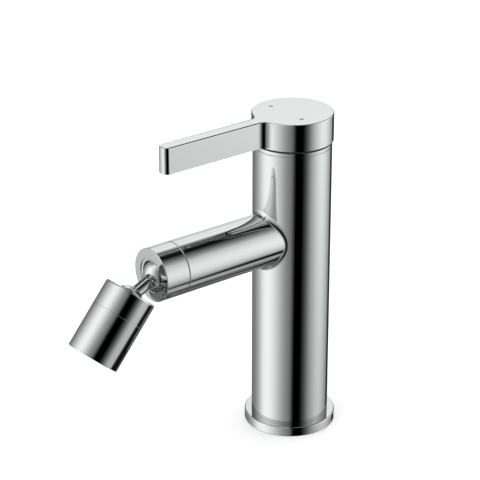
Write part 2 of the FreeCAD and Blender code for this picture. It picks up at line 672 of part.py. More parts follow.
def make_spout_end():
    collar = new_body("spout_end_collar")
    plug = spout_bore - slip
    start = spout_seam - collar_plug_length
    groove_start = start + collar_groove_start
    groove_end = groove_start + ring_groove_height
    groove_radius = spout_bore - ring_groove_depth - slip
    lip = spout_reach - ball_depth + seat_front + running / 2
    recess_radius = seat_hole_radius + seat_recess_width
    recess_floor = spout_reach - seat_recess_depth
    seam_floor = spout_radius - seam_depth
    seam_edge = spout_seam + seam_gap
    turned(collar, [(seat_radius, start), (plug, start), (plug, groove_start), (groove_radius, groove_start),
                    (groove_radius, groove_end), (plug, groove_end), (plug, spout_seam),
                    (seam_floor, spout_seam), (seam_floor, seam_edge), (spout_radius, seam_edge),
                    (spout_radius, spout_reach), (recess_radius, spout_reach), (recess_radius, recess_floor),
                    (seat_hole_radius, recess_floor), (seat_hole_radius, lip), (seat_radius, lip)])
    soften(collar, "Fillet", "FrontEdge", edge_break, rim(spout_radius, spout_reach))
    place(collar, along_spout(Size(0, "0")), X_AXIS, SPOUT_TURN)
    o_ring("collar_o_ring", spout_bore - slip - ring_section, ring_section,
           along_spout((groove_start + groove_end) / 2), X_AXIS, SPOUT_TURN)


# First ball joint: seat ring, seal and threaded retainer in the spout's end

def make_first_ball_joint():
    liner = new_body("ball_seat_liner")
    hollow = ball_radius + running
    outer = seat_radius - running / 2
    turned(liner, [(outer, -seat_back), (outer, seat_front), (other_side(hollow, seat_front), seat_front),
                   (other_side(hollow, seat_back), -seat_back, (0, 0), "right")])
    place(liner, FIRST_BALL, X_AXIS, SPOUT_TURN)

    seal_depth = other_side(ball_radius + seal_section + running, ball_seal_radius)
    o_ring("ball_seal", ball_seal_radius, seal_section, along_spout(first_ball_reach - seal_depth),
           X_AXIS, SPOUT_TURN)

    retainer = new_body("ball_retainer")
    cup = ball_seal_radius + seal_section + running
    floor = -(seal_depth + seal_section)
    rim_bore = ball_radius + retainer_rim_gap
    step = -retainer_step
    outer = seat_radius - slip
    front = -(seat_back + retainer_rim_gap)
    turned(retainer, [(retainer_bore, floor - retainer_wall), (outer, floor - retainer_wall), (outer, front),
                      (rim_bore, front), (rim_bore, step), (cup, step), (cup, floor), (retainer_bore, floor)])
    place(retainer, FIRST_BALL, X_AXIS, SPOUT_TURN)


# Neck with the first ball, and the second ball that turns on the neck's end

def make_neck():
    neck = new_body("swivel_neck")
    shoulder = ball_spacing - stub_shoulder
    end = ball_spacing + stub_end
    turned(neck, [(neck_bore, -other_side(ball_radius, neck_bore)),
                  (neck_radius, other_side(ball_radius, neck_radius), (0, 0), "left"),
                  (neck_radius, shoulder), (stub_radius, shoulder), (stub_radius, end), (neck_bore, end)])
    place(neck, FIRST_BALL, X_AXIS, NECK_TURN)

    ball = new_body("swivel_ball")
    bore = stub_radius + running / 2
    top_pocket = neck_radius + running
    pocket_floor = -(stub_shoulder - running / 2)
    nut_seat = stub_end - nut_length - running / 2
    groove_radius = stub_radius + ring_groove_depth + running
    groove_low = -neck_groove_drop
    groove_high = groove_low + ring_groove_height
    turned(ball, [(top_pocket, -other_side(ball_radius, top_pocket)),
                  (ball_mouth, other_side(ball_radius, ball_mouth), (0, 0), "left"),
                  (ball_mouth, nut_seat), (bore, nut_seat), (bore, groove_high), (groove_radius, groove_high),
                  (groove_radius, groove_low), (bore, groove_low), (bore, pocket_floor),
                  (top_pocket, pocket_floor)])
    place(ball, SECOND_BALL, X_AXIS, NECK_TURN)

    ring_place = groove_low + ring_groove_height / 2
    o_ring("neck_o_ring", stub_radius + running / 2 + ring_section, ring_section,
           on_neck(ring_place), X_AXIS, NECK_TURN)

    nut = new_body("neck_nut")
    nut_start = stub_end - nut_length
    turned(nut, [(stub_radius + slip / 2, nut_start), (nut_radius, nut_start), (nut_radius, stub_end),
                 (stub_radius + slip / 2, stub_end)])
    place(nut, SECOND_BALL, X_AXIS, NECK_TURN)


# Spray head round the second ball

def make_head():
    upper = new_body("head_upper_shell")
    roof = -(head_top - head_roof)
    seat_bore = head_seat_radius + slip
    hole_height = head_hole_rim - head_top
    turned(upper, [(head_hole_radius + head_hole_lip, -head_top), (head_radius, -head_top),
                   (head_radius, head_seam), (head_thread_radius, head_seam),
                   (head_thread_radius, head_seat_bottom), (seat_bore, head_seat_bottom), (seat_bore, roof),
                   (other_side(head_hollow, roof), roof),
                   (head_hole_radius, hole_height, (0, 0), "right")])
    soften(upper, "Fillet", "TopEdge", head_round, rim(head_radius, -head_top))
    soften(upper, "Chamfer", "SeamEdge", seam_break, rim(head_radius, head_seam))
    place(upper, SECOND_BALL, X_AXIS, HEAD_TURN)

    liner = new_body("head_seat_liner")
    seat = ball_radius + running
    turned(liner, [(head_seat_radius, roof), (head_seat_radius, head_seat_bottom),
                   (other_side(seat, head_seat_bottom), head_seat_bottom),
                   (other_side(seat, roof), roof, (0, 0), "right")])
    place(liner, SECOND_BALL, X_AXIS, HEAD_TURN)

    seal_depth = other_side(ball_radius + seal_section + running, head_seal_radius)
    o_ring("head_seal", head_seal_radius, seal_section, on_head(seal_depth), X_AXIS, HEAD_TURN)

    lower = new_body("head_lower_shell")
    seal_bore = head_seal_radius + seal_section + running
    seal_floor = seal_depth + seal_section
    plug = head_thread_radius - slip
    groove_radius = plug - ring_groove_depth
    groove_end = head_seam - head_groove_gap
    groove_start = groove_end - ring_groove_height
    turned(lower, [(seal_bore, head_seat_bottom), (plug, head_seat_bottom), (plug, groove_start),
                   (groove_radius, groove_start), (groove_radius, groove_end), (plug, groove_end),
                   (plug, head_seam), (head_radius, head_seam), (head_radius, head_end),
                   (aerator_radius, head_end), (aerator_radius, aerator_start), (head_chamber, aerator_start),
                   (head_chamber, chamber_start), (head_throat, chamber_start - throat_flare),
                   (head_throat, seal_floor), (seal_bore, seal_floor)])
    soften(lower, "Chamfer", "SeamEdge", seam_break, rim(head_radius, head_seam))
    soften(lower, "Fillet", "OutletEdge", edge_break, rim(head_radius, head_end))
    place(lower, SECOND_BALL, X_AXIS, HEAD_TURN)
    o_ring("head_o_ring", plug - ring_section, ring_section, on_head((groove_start + groove_end) / 2),
           X_AXIS, HEAD_TURN)


def make_aerator():
    washer = new_body("aerator_washer")
    washer_inner = aerator_radius - washer_width
    washer_outer = aerator_radius - running
    turned(washer, [(washer_inner, aerator_start), (washer_outer, aerator_start), (washer_outer, washer_end),
                    (washer_inner, washer_end)])
    place(washer, SECOND_BALL, X_AXIS, HEAD_TURN)

    housing = new_body("aerator_housing")
    outer = aerator_radius - slip
    lip_bore = aerator_bore - aerator_lip
    turned(housing, [(aerator_bore, washer_end), (outer, washer_end), (outer, aerator_end),
                     (lip_bore, aerator_end), (lip_bore, insert_end), (aerator_bore, insert_end)])
    key_half = key_width / 2
    pocket(housing, "KeyNotches", "XY_Plane", aerator_end, aerator_lip_height,
           lambda sketch: outline(sketch, rectangle(-outer, outer, -key_half, key_half)))
    place(housing, SECOND_BALL, X_AXIS, HEAD_TURN)

    insert_radius = aerator_bore - slip
    perforated_disc("aerator_insert", insert_radius, insert_start, insert_height)
    perforated_disc("aerator_screen", insert_radius, screen_start, screen_height)


def perforated_disc(name, radius, start, height):
    """A round plate with one middle hole and three rings of holes, six more in each ring."""
    body = new_body(name)
    pad(body, "Plate", "XY_Plane", start, height, lambda sketch: circles(sketch, radius, [(0, 0)]))
    pocket(body, "MiddleJet", "XY_Plane", start, height,
           lambda sketch: circles(sketch, jet_radius, [(0, 0)]), along=True)
    for ring in (1, 2, 3):
        jet = pocket(body, "Jet%d" % ring, "XY_Plane", start, height,
                     lambda sketch: circles(sketch, jet_radius, [(0, jet_ring_step * ring)]), along=True)
        doc.recompute()
        pattern = body.newObject("PartDesign::PolarPattern", "JetRing%d" % ring)
        pattern.Originals = [jet]
        pattern.Axis = (jet.Profile[0], ["N_Axis"])
        pattern.Angle = 360
        pattern.Occurrences = 6 * ring
        body.Tip = pattern
    place(body, SECOND_BALL, X_AXIS, HEAD_TURN)


# Lever handle: round cap, blade, hollow for the dome and boss for the stem

def make_handle():
    body = new_body("lever_handle")
    pad(body, "Cap", "XY_Plane", cap_bottom, cap_height,
        lambda sketch: circles(sketch, handle_radius, [(0, 0)]))
    half = blade_width / 2
    root = -(handle_radius - blade_root_depth)
    corner_x = half + blade_root_radius
    corner_y = -other_side(handle_radius + blade_root_radius, corner_x)
    share = handle_radius / (handle_radius + blade_root_radius)
    touch_x = corner_x * share
    touch_y = corner_y * share
    nose_y = blade_nose_radius - blade_reach
    facet_x = half - blade_facet_width
    round_x = facet_x - blade_tip_radius * sine(blade_facet_angle)
    inner = blade_nose_radius - blade_tip_radius
    round_y = nose_y - other_side(inner, round_x)
    share = blade_nose_radius / inner
    nose_x = round_x * share
    nose_end = nose_y - other_side(inner, round_x) * share
    facet_y = round_y - blade_tip_radius * cosine(blade_facet_angle)
    side_y = facet_y + blade_facet_width * sine(blade_facet_angle) / cosine(blade_facet_angle)
    blade = [(nose_x, nose_end, (0, nose_y), "left"), (facet_x, facet_y, (round_x, round_y), "left"),
             (half, side_y), (half, corner_y), (touch_x, touch_y, (corner_x, corner_y), "right"),
             (touch_x, root), (-touch_x, root), (-touch_x, touch_y),
             (-half, corner_y, (-corner_x, corner_y), "right"), (-half, side_y), (-facet_x, facet_y),
             (-nose_x, nose_end, (-round_x, round_y), "left")]
    pad(body, "Blade", "XY_Plane", handle_top - blade_height, blade_height,
        lambda sketch: outline(sketch, blade))
    soften(body, "Chamfer", "TopEdges", edge_break,
           lambda edge: all(abs(vertex.Point.z - number(handle_top)) < 1e-4 for vertex in edge.Vertexes)
           and edge.Length > 1e-3)
    hollow = dome_radius + cap_clearance
    low = cap_bottom - pivot_height - cut_past
    boss_rise = other_side(hollow, boss_radius)
    grooved(body, [(0, pivot_height + low), (other_side(hollow, low), pivot_height + low),
                   (boss_radius, pivot_height + boss_rise, (0, pivot_height), "left"),
                   (boss_radius, pivot_height + boss_bottom), (0, pivot_height + boss_bottom)], "Hollow")
    socket = stem_width / 2 + slip
    pocket(body, "StemSocket", "XY_Plane", pivot_height + boss_bottom, stem_top + end_gap - boss_bottom,
           lambda sketch: outline(sketch, rectangle(-socket, socket, -socket, socket)), along=True)
    pocket(body, "SetScrewHole", "XZ_Plane", -(stem_width / 2 - slip), handle_radius,
           lambda sketch: circles(sketch, set_screw_radius + slip, [(0, set_screw_height)]))
    pocket(body, "PlugHole", "XZ_Plane", -(handle_radius - plug_length - plug_inset), handle_radius,
           lambda sketch: circles(sketch, plug_radius + slip, [(0, set_screw_height)]))
    pocket(body, "MarkRecesses", "XY_Plane", handle_top, mark_depth,
           lambda sketch: circles(sketch, mark_radius + slip / 2,
                                  [(-mark_side, -mark_forward), (mark_side, -mark_forward)]))

    for name, side in (("hot_mark", -mark_side), ("cold_mark", mark_side)):
        mark = doc.addObject("Part::Cylinder", name)
        mark.Label = name
        tie(mark, "Radius", mark_radius)
        tie(mark, "Height", mark_depth)
        place(mark, (side, -mark_forward, handle_top - mark_depth))

    screw = new_body("handle_set_screw")
    pad(screw, "Thread", "XY_Plane", 0, set_screw_length,
        lambda sketch: circles(sketch, set_screw_radius, [(0, 0)]))
    turns = [math.radians(360 / KEY_SIDES * step) for step in range(KEY_SIDES)]
    key = [(screw_key_radius * math.cos(turn), screw_key_radius * math.sin(turn)) for turn in turns]
    pocket(screw, "Hexagon", "XY_Plane", set_screw_length, screw_key_depth,
           lambda sketch: outline(sketch, key))
    place(screw, (0, stem_width / 2, set_screw_height), X_AXIS, -SPOUT_TURN)

    plug = doc.addObject("Part::Cylinder", "handle_screw_plug")
    plug.Label = "handle_screw_plug"
    tie(plug, "Radius", plug_radius)
    tie(plug, "Height", plug_length)
    place(plug, (0, handle_radius - plug_length - plug_inset, set_screw_height), X_AXIS,
          -SPOUT_TURN)


# Dome ring: the bright band above the column and the dome that the handle slides over,
# with a ledge for the wiper ring that shows as the dark line under the cap

def make_dome_ring():
    body = new_body("dome_ring")
    inside = dome_radius - dome_wall
    skirt = thread_radius - slip
    across = sine(dome_opening_angle)
    up = cosine(dome_opening_angle)
    bore_rise = other_side(inside, dome_skirt_bore)
    pivot = (0, pivot_height)
    seam_floor = body_radius - seam_depth
    seam_edge = body_top + seam_gap
    turned(body, [(dome_skirt_bore, body_top - dome_skirt_length), (skirt, body_top - dome_skirt_length),
                  (skirt, body_top), (seam_floor, body_top), (seam_floor, seam_edge),
                  (body_radius, seam_edge), (body_radius, dome_shoulder),
                  (wiper_seat - slip, dome_shoulder),
                  (wiper_seat - slip, pivot_height + other_side(dome_radius, wiper_seat - slip)),
                  (dome_radius * across, pivot_height + dome_radius * up, pivot, "left"),
                  (inside * across, pivot_height + inside * up),
                  (dome_skirt_bore, pivot_height + bore_rise, pivot, "right")])

    wiper = new_body("wiper_ring")
    wiper_top = pivot_height + other_side(dome_radius + wiper_rise, wiper_radius)
    turned(wiper, [(wiper_seat, dome_shoulder), (wiper_radius, dome_shoulder), (wiper_radius, wiper_top),
                   (wiper_seat, wiper_top)])


# Mixing cartridge

def make_cartridge_shell():
    nut = new_body("cartridge_nut")
    nut_top = shoulder_height + nut_height
    neck = turret_radius + running + turret_neck_wall
    nut_bore = neck + running
    outer = thread_radius - slip
    turned(nut, [(nut_bore, shoulder_height), (outer, shoulder_height), (outer, nut_top),
                 (nut_bore, nut_top)])
    half = nut_slot_width / 2
    for name, corners in (("SlotsAcross", rectangle(-thread_radius, thread_radius, -half, half)),
                          ("SlotsAlong", rectangle(-half, half, -thread_radius, thread_radius))):
        pocket(nut, name, "XY_Plane", nut_top, nut_slot_depth,
               lambda sketch, corners=corners: outline(sketch, corners))

    housing = new_body("cartridge_housing")
    foot = seat_height + base_flange
    neck_bore_radius = turret_radius + running
    roof = shoulder_height - shoulder_wall
    neck_top = shoulder_height + turret_neck_height
    turned(housing, [(cartridge_inside, foot), (cartridge_radius, foot), (cartridge_radius, shoulder_height),
                     (neck, shoulder_height), (neck, neck_top), (neck_bore_radius, neck_top),
                     (neck_bore_radius, roof), (cartridge_inside, roof)])

    base = new_body("cartridge_base")
    spigot = cartridge_inside - slip
    flange = cartridge_radius - cartridge_gap
    turned(base, [(0, seat_height), (flange, seat_height), (flange, foot), (spigot, foot),
                  (spigot, disc_floor), (0, disc_floor)])
    pocket(base, "Ports", "XY_Plane", seat_height, base_height,
           lambda sketch: circles(sketch, inlet_way_radius, ports), along=True)
    pocket(base, "SealRecesses", "XY_Plane", seat_height, port_seal_section * 2,
           lambda sketch: circles(sketch, port_seal_radius + port_seal_section + slip, ports), along=True)
    pad(base, "LocatingPins", "XY_Plane", seat_height, locating_pin_length,
        lambda sketch: circles(sketch, locating_pin_radius, locating_pins), against=True)

    rings = []
    for index, (across, back) in enumerate(ports):
        ring = doc.addObject("Part::Torus", "PortSeal%d" % index)
        tie(ring, "Radius1", port_seal_radius)
        tie(ring, "Radius2", port_seal_section)
        place(ring, (across, back, seat_height + port_seal_section))
        rings.append(ring)
    seals = doc.addObject("Part::Compound", "port_seals")
    seals.Label = "port_seals"
    seals.Links = rings


def make_discs():
    fixed = new_body("fixed_disc")
    pad(fixed, "Plate", "XY_Plane", disc_floor, disc_height,
        lambda sketch: circles(sketch, fixed_disc_radius, [(0, 0)]))
    pocket(fixed, "Ports", "XY_Plane", disc_floor, disc_height,
           lambda sketch: circles(sketch, disc_port_radius, ports), along=True)

    moving = new_body("moving_disc")
    start = disc_floor + disc_height + disc_gap
    pad(moving, "Plate", "XY_Plane", start, carrier_floor - start,
        lambda sketch: circles(sketch, moving_disc_radius, [(0, disc_shift)]))
    pocket(moving, "MixingChamber", "XY_Plane", start, mixing_depth,
           lambda sketch: circles(sketch, mixing_radius, [(0, disc_shift + mixing_back)]), along=True)

    carrier = new_body("disc_carrier")
    pad(carrier, "Plate", "XY_Plane", carrier_floor, carrier_height,
        lambda sketch: circles(sketch, moving_disc_radius, [(0, disc_shift)]))
    far = moving_disc_radius + cut_past
    for name, left, right in (("LeftFlat", -far, -carrier_flat), ("RightFlat", carrier_flat, far)):
        pocket(carrier, name, "XY_Plane", carrier_floor, carrier_height,
               lambda sketch, left=left, right=right: outline(
                   sketch, rectangle(left, right, disc_shift - far, disc_shift + far)), along=True)
    pocket(carrier, "BallSocket", "XY_Plane", carrier_floor, carrier_height,
           lambda sketch: circles(sketch, stem_ball_radius + stem_ball_gap, [(0, 0)]), along=True)


def make_turret():
    body = new_body("cartridge_turret")
    groove_middle = pivot_height - turret_groove_drop
    groove_low = groove_middle - ring_groove_height / 2
    groove_high = groove_middle + ring_groove_height / 2
    groove_radius = turret_radius - ring_groove_depth
    turned(body, [(0, turret_bottom), (turret_flange_radius, turret_bottom),
                  (turret_flange_radius, turret_flange_top), (turret_radius, turret_flange_top),
                  (turret_radius, groove_low), (groove_radius, groove_low), (groove_radius, groove_high),
                  (turret_radius, groove_high), (turret_radius, turret_top), (0, turret_top)])
    near = carrier_flat + rail_gap
    far = near + rail_width
    half_length = rail_length / 2
    for name, left, right in (("LeftRail", -far, -near), ("RightRail", near, far)):
        pad(body, name, "XY_Plane", turret_bottom, rail_drop,
            lambda sketch, left=left, right=right: outline(
                sketch, rectangle(left, right, -half_length, half_length)), against=True)
    side = stem_width / 2 + running
    pocket(body, "StemSlot", "XY_Plane", turret_top, turret_top - turret_bottom + cut_past,
           lambda sketch: outline(sketch, rectangle(-side, side, -slot_front, slot_back)))
    pocket(body, "PinHole", "YZ_Plane", 0, (turret_radius + cut_past) * 2,
           lambda sketch: circles(sketch, pin_radius + slip / 2, [(0, pivot_height)]), midplane=True)
    o_ring("turret_o_ring", turret_radius - ring_section, ring_section, (0, 0, groove_middle))

    pin = doc.addObject("Part::Cylinder", "pivot_pin")
    pin.Label = "pivot_pin"
    tie(pin, "Radius", pin_radius)
    tie(pin, "Height", pin_length)
    place(pin, (-(pin_length / 2), 0, pivot_height), Y_AXIS, SPOUT_TURN)


def make_stem():
    body = new_body("cartridge_stem")
    half = stem_width / 2
    pad(body, "Square", "XY_Plane", 0, stem_top,
        lambda sketch: outline(sketch, rectangle(-half, half, -half, half)))
    pad(body, "Hub", "YZ_Plane", 0, stem_width,
        lambda sketch: circles(sketch, stem_hub_radius, [(0, 0)]), midplane=True)
    pad(body, "Arm", "XY_Plane", 0, stem_arm, lambda sketch: circles(sketch, stem_arm_radius, [(0, 0)]),
        against=True)
    ball = body.newObject("PartDesign::AdditiveSphere", "LowerBall")
    for feature in body.Origin.OriginFeatures:
        if feature.Role == "XY_Plane":
            ball.AttachmentSupport = (feature, [""])
    ball.MapMode = "FlatFace"
    tie(ball, "AttachmentOffset.Base.z", -stem_arm)
    tie(ball, "Radius", stem_ball_radius)
    pocket(body, "PinHole", "YZ_Plane", 0, stem_width + cut_past * 2,
           lambda sketch: circles(sketch, pin_radius + slip, [(0, 0)]), midplane=True)
    place(body, (0, 0, pivot_height))


make_base_ring()
make_column()
make_spout()
make_spout_end()
make_first_ball_joint()
make_neck()
make_head()
make_aerator()
make_handle()
make_dome_ring()
make_cartridge_shell()
make_discs()
make_turret()
make_stem()
doc.recompute()


# Every object has to be sound before anything is written

def sub_parts():
    """Objects that are pieces of the tap: bodies, and primitives that nothing else holds."""
    held = [link for item in doc.Objects if item.TypeId == "Part::Compound" for link in item.Links]
    for item in doc.Objects:
        if item.TypeId in ("PartDesign::Body", "Part::Torus", "Part::Cylinder", "Part::Compound"):
            if item not in held:
                yield item


def check_document():
    for item in doc.Objects:
        if "Invalid" in item.State or "Error" in item.State:
            raise RuntimeError("failed feature: %s %s" % (item.Label, item.State))
        if item.TypeId in ("PartDesign::Pocket", "PartDesign::Groove"):
            before = item.BaseFeature.Shape.Volume
            if item.Shape.Volume > before - 1e-3:
                raise RuntimeError("nothing was cut by %s in %s" % (item.Label, item.getParent().Label))
    for item in sub_parts():
        if item.Shape.isNull() or not item.Shape.isValid():
            raise RuntimeError("bad shape: " + item.Label)


check_document()
for item in sub_parts():
    item.Shape.exportStep("parts/%s.step" % item.Label)
    print("%-20s %2d solid(s) %10.1f mm3" % (item.Label, len(item.Shape.Solids), item.Shape.Volume))
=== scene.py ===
import json
import math
from collections import Counter
import bpy
from mathutils import Matrix, Vector


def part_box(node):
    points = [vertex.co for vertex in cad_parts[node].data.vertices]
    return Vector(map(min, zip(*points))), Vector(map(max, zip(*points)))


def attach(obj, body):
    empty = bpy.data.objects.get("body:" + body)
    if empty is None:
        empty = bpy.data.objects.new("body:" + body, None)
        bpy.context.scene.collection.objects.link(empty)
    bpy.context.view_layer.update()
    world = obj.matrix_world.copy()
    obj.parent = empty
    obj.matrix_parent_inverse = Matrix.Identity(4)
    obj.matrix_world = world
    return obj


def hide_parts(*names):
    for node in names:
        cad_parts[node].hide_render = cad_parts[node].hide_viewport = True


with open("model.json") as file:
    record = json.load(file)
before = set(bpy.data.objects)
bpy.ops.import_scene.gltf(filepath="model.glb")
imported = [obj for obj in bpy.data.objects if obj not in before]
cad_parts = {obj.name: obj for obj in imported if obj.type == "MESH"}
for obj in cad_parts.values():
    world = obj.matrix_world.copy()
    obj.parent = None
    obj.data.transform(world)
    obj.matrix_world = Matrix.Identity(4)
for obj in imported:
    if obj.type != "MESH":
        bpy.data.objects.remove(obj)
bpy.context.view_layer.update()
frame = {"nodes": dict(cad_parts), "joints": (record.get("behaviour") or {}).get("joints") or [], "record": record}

MM = 0.001

# Fineness of the meshes: sides of a turned piece, steps of a round, the turn past which an edge stays
# sharp, how near two points are the same one, the least share of a normal up or down on a level face, and
# how far a cutter runs past what it cuts
SIDES = 192
ROUND_STEPS = 5
SMOOTH_ANGLE = math.radians(32)
SAME_POINT = 0.0005 * MM
LEVEL_FACE = 0.9
CUT_PAST = 1.0

# Places that the frame gives
JOINTS = {joint["name"]: joint for joint in frame["joints"]}
MOUNTS = {mount["name"]: mount for mount in frame["record"]["mounts"]}
FIRST_BALL = Vector(JOINTS["neck_sweep"]["pos_m"])
SECOND_BALL = Vector(JOINTS["head_sweep"]["pos_m"])
PIVOT = Vector(JOINTS["flow_lift"]["pos_m"])
OUTLET = Vector(MOUNTS["outlet"]["pos_m"])
SPOUT_AXIS = Vector(JOINTS["neck_sweep"]["axis"])
NECK_AXIS = Vector(JOINTS["head_sweep"]["axis"])
HEAD_AXIS = Vector(MOUNTS["outlet"]["axis"])
PIVOT_UP = PIVOT.z / MM
BODY_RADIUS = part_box("column_body")[1].x / MM
BODY_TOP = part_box("column_body")[1].z / MM
RING_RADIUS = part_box("base_ring")[1].x / MM
RING_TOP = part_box("base_ring")[1].z / MM
CAP_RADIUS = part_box("lever_handle")[1].x / MM
CAP_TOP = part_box("lever_handle")[1].z / MM
CAP_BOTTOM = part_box("lever_handle")[0].z / MM
BLADE_TIP = -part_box("lever_handle")[0].y / MM
SPOUT_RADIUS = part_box("spout_tube")[1].x / MM
SPOUT_SEAM = -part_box("spout_tube")[0].y / MM
SPOUT_END = -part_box("spout_end_collar")[0].y / MM
HEAD_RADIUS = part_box("head_lower_shell")[1].x / MM
BALL_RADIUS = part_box("swivel_ball")[1].x / MM

# Small sizes of the bright pieces, in millimetres
SEAM_ROUND = 0.12
SEAM_GAP, SEAM_DEPTH, SEAM_EDGE = 0.55, 0.5, 0.05
EDGE_ROUND = 0.35
HEAD_ROUND = 0.9
FIT_GAP = 0.05
FOOT_RADIUS = 18.0
THREAD_RADIUS = 18.4
BAND_HEIGHT = 2.2
DOME_RADIUS = math.hypot(BODY_RADIUS, BODY_TOP + BAND_HEIGHT - PIVOT_UP)
BLADE_HALF, BLADE_BOTTOM, BLADE_ROOT_ROUND = 3.75, CAP_BOTTOM + 0.6, 6.0
MARK_SIDE, MARK_FORWARD, MARK_RADIUS, MARK_DEPTH = 12.5, 4.5, 1.15, 0.4
SET_SCREW_RADIUS, SET_SCREW_UP, PLUG_RADIUS, PLUG_DEPTH = 2.05, 174.2, 2.6, 2.9


# Materials

def linear(hex_colour):
    """A colour given as sRGB hex digits, in linear light with full alpha."""
    parts = [int(hex_colour[start:start + 2], 16) / 255 for start in (0, 2, 4)]
    return [part / 12.92 if part <= 0.04045 else ((part + 0.055) / 1.055) ** 2.4 for part in parts] + [1.0]


def add_node(tree, kind, settings=None, **inputs):
    """Add one node. Inputs are values, or the sockets that feed them; _2 is the one with number 2."""
    node = tree.nodes.new(kind)
    for name, value in (settings or {}).items():
        setattr(node, name, value)
    for name, value in inputs.items():
        socket = node.inputs[int(name[1:])] if name[0] == "_" else node.inputs[name.replace("_", " ")]
        if isinstance(value, bpy.types.NodeSocket):
            tree.links.new(value, socket)
        else:
            socket.default_value = value
    return node


def new_material(name, colour, metallic, roughness):
    """A material with the shader's own even values, and the piece's own coordinates for its pattern."""
    material = bpy.data.materials.new(name)
    material.use_nodes = True
    tree = material.node_tree
    shader = tree.nodes["Principled BSDF"]
    shader.inputs["Base Color"].default_value = linear(colour)
    shader.inputs["Metallic"].default_value = metallic
    shader.inputs["Roughness"].default_value = roughness
    return material, tree, shader, add_node(tree, "ShaderNodeTexCoord").outputs["Object"]


def per_mm(size_mm):
    """Scale of a pattern whose cells are this long."""
    return 1 / (size_mm * MM)


def chrome_plate():
    """Polished chrome plate: a near mirror, a touch cool, whose polish varies over spots of 9 mm."""
    material, tree, shader, place = new_material("chrome_plate_polished", "cacecd", 1.0, 0.035)
    cloud = add_node(tree, "ShaderNodeTexNoise", Vector=place, Scale=per_mm(9.0), Detail=3.0)
    polish = add_node(tree, "ShaderNodeMapRange", Value=cloud.outputs["Fac"], To_Min=0.02, To_Max=0.05)
    tree.links.new(polish.outputs["Result"], shader.inputs["Roughness"])
    return material


def chrome_on_plastic():
    """Chrome plate on moulded ABS: as bright, with the moulding's faint 3 mm ripple under it."""
    material, tree, shader, place = new_material("chrome_plate_on_abs", "c6cac9", 1.0, 0.06)
    ripple = add_node(tree, "ShaderNodeTexNoise", Vector=place, Scale=per_mm(3.0), Detail=1.0)
    polish = add_node(tree, "ShaderNodeMapRange", Value=ripple.outputs["Fac"], To_Min=0.04, To_Max=0.09)
    relief = add_node(tree, "ShaderNodeBump", Height=ripple.outputs["Fac"], Distance=0.004 * MM)
    tree.links.new(polish.outputs["Result"], shader.inputs["Roughness"])
    tree.links.new(relief.outputs["Normal"], shader.inputs["Normal"])
    return material


def turned_brass():
    """Turned brass without a coat: warm yellow, with the tool's fine rings drawn coarser, 0.3 mm apart."""
    material, tree, shader, place = new_material("brass_turned", "c9a75a", 1.0, 0.3)
    along = add_node(tree, "ShaderNodeMapping", Vector=place, Scale=(0.01, 0.01, 1.0))
    rings = add_node(tree, "ShaderNodeTexNoise", Vector=along.outputs[0], Scale=per_mm(0.3), Detail=2.0)
    finish = add_node(tree, "ShaderNodeMapRange", Value=rings.outputs["Fac"], To_Min=0.2, To_Max=0.4)
    relief = add_node(tree, "ShaderNodeBump", Height=rings.outputs["Fac"], Distance=0.01 * MM)
    tree.links.new(finish.outputs["Result"], shader.inputs["Roughness"])
    tree.links.new(relief.outputs["Normal"], shader.inputs["Normal"])
    return material


def turned_stainless():
    """Turned stainless steel: neutral grey and satin, with the tool's rings drawn coarser, at 0.3 mm."""
    material, tree, shader, place = new_material("stainless_steel_turned", "c4c5c6", 1.0, 0.28)
    along = add_node(tree, "ShaderNodeMapping", Vector=place, Scale=(0.02, 0.02, 1.0))
    rings = add_node(tree, "ShaderNodeTexNoise", Vector=along.outputs[0], Scale=per_mm(0.3), Detail=2.0)
    finish = add_node(tree, "ShaderNodeMapRange", Value=rings.outputs["Fac"], To_Min=0.2, To_Max=0.36)
    tree.links.new(finish.outputs["Result"], shader.inputs["Roughness"])
    return material


def moulded_acetal(name, colour):
    """Moulded acetal: a waxy matt plastic whose fine spark-eroded grain is drawn coarser, at 0.3 mm."""
    material, tree, shader, place = new_material(name, colour, 0.0, 0.42)
    shader.inputs["IOR"].default_value = 1.48
    shader.inputs["Subsurface Weight"].default_value = 0.05
    shader.inputs["Subsurface Scale"].default_value = 0.6 * MM
    grain = add_node(tree, "ShaderNodeTexNoise", Vector=place, Scale=per_mm(0.3), Detail=2.0)
    matt = add_node(tree, "ShaderNodeMapRange", Value=grain.outputs["Fac"], To_Min=0.36, To_Max=0.5)
    relief = add_node(tree, "ShaderNodeBump", Height=grain.outputs["Fac"], Distance=0.006 * MM)
    tree.links.new(matt.outputs["Result"], shader.inputs["Roughness"])
    tree.links.new(relief.outputs["Normal"], shader.inputs["Normal"])
    return material


def turned_ptfe():
    """Turned PTFE: milky white and slippery, with a soft sheen that clouds over 1.5 mm."""
    material, tree, shader, place = new_material("ptfe_turned", "eeeeea", 0.0, 0.5)
    shader.inputs["IOR"].default_value = 1.38
    shader.inputs["Subsurface Weight"].default_value = 0.1
    shader.inputs["Subsurface Scale"].default_value = 0.8 * MM
    cloud = add_node(tree, "ShaderNodeTexNoise", Vector=place, Scale=per_mm(1.5), Detail=2.0)
    sheen = add_node(tree, "ShaderNodeMapRange", Value=cloud.outputs["Fac"], To_Min=0.45, To_Max=0.58)
    tree.links.new(sheen.outputs["Result"], shader.inputs["Roughness"])
    return material


def lapped_alumina():
    """Lapped alumina: ivory ceramic with a glassy face, whose fine grain is drawn coarser, at 0.4 mm."""
    material, tree, shader, place = new_material("alumina_lapped", "efece2", 0.0, 0.12)
    shader.inputs["IOR"].default_value = 1.76
    grain = add_node(tree, "ShaderNodeTexNoise", Vector=place, Scale=per_mm(0.4), Detail=3.0)
    gloss = add_node(tree, "ShaderNodeMapRange", Value=grain.outputs["Fac"], To_Min=0.08, To_Max=0.2)
    tree.links.new(gloss.outputs["Result"], shader.inputs["Roughness"])
    return material


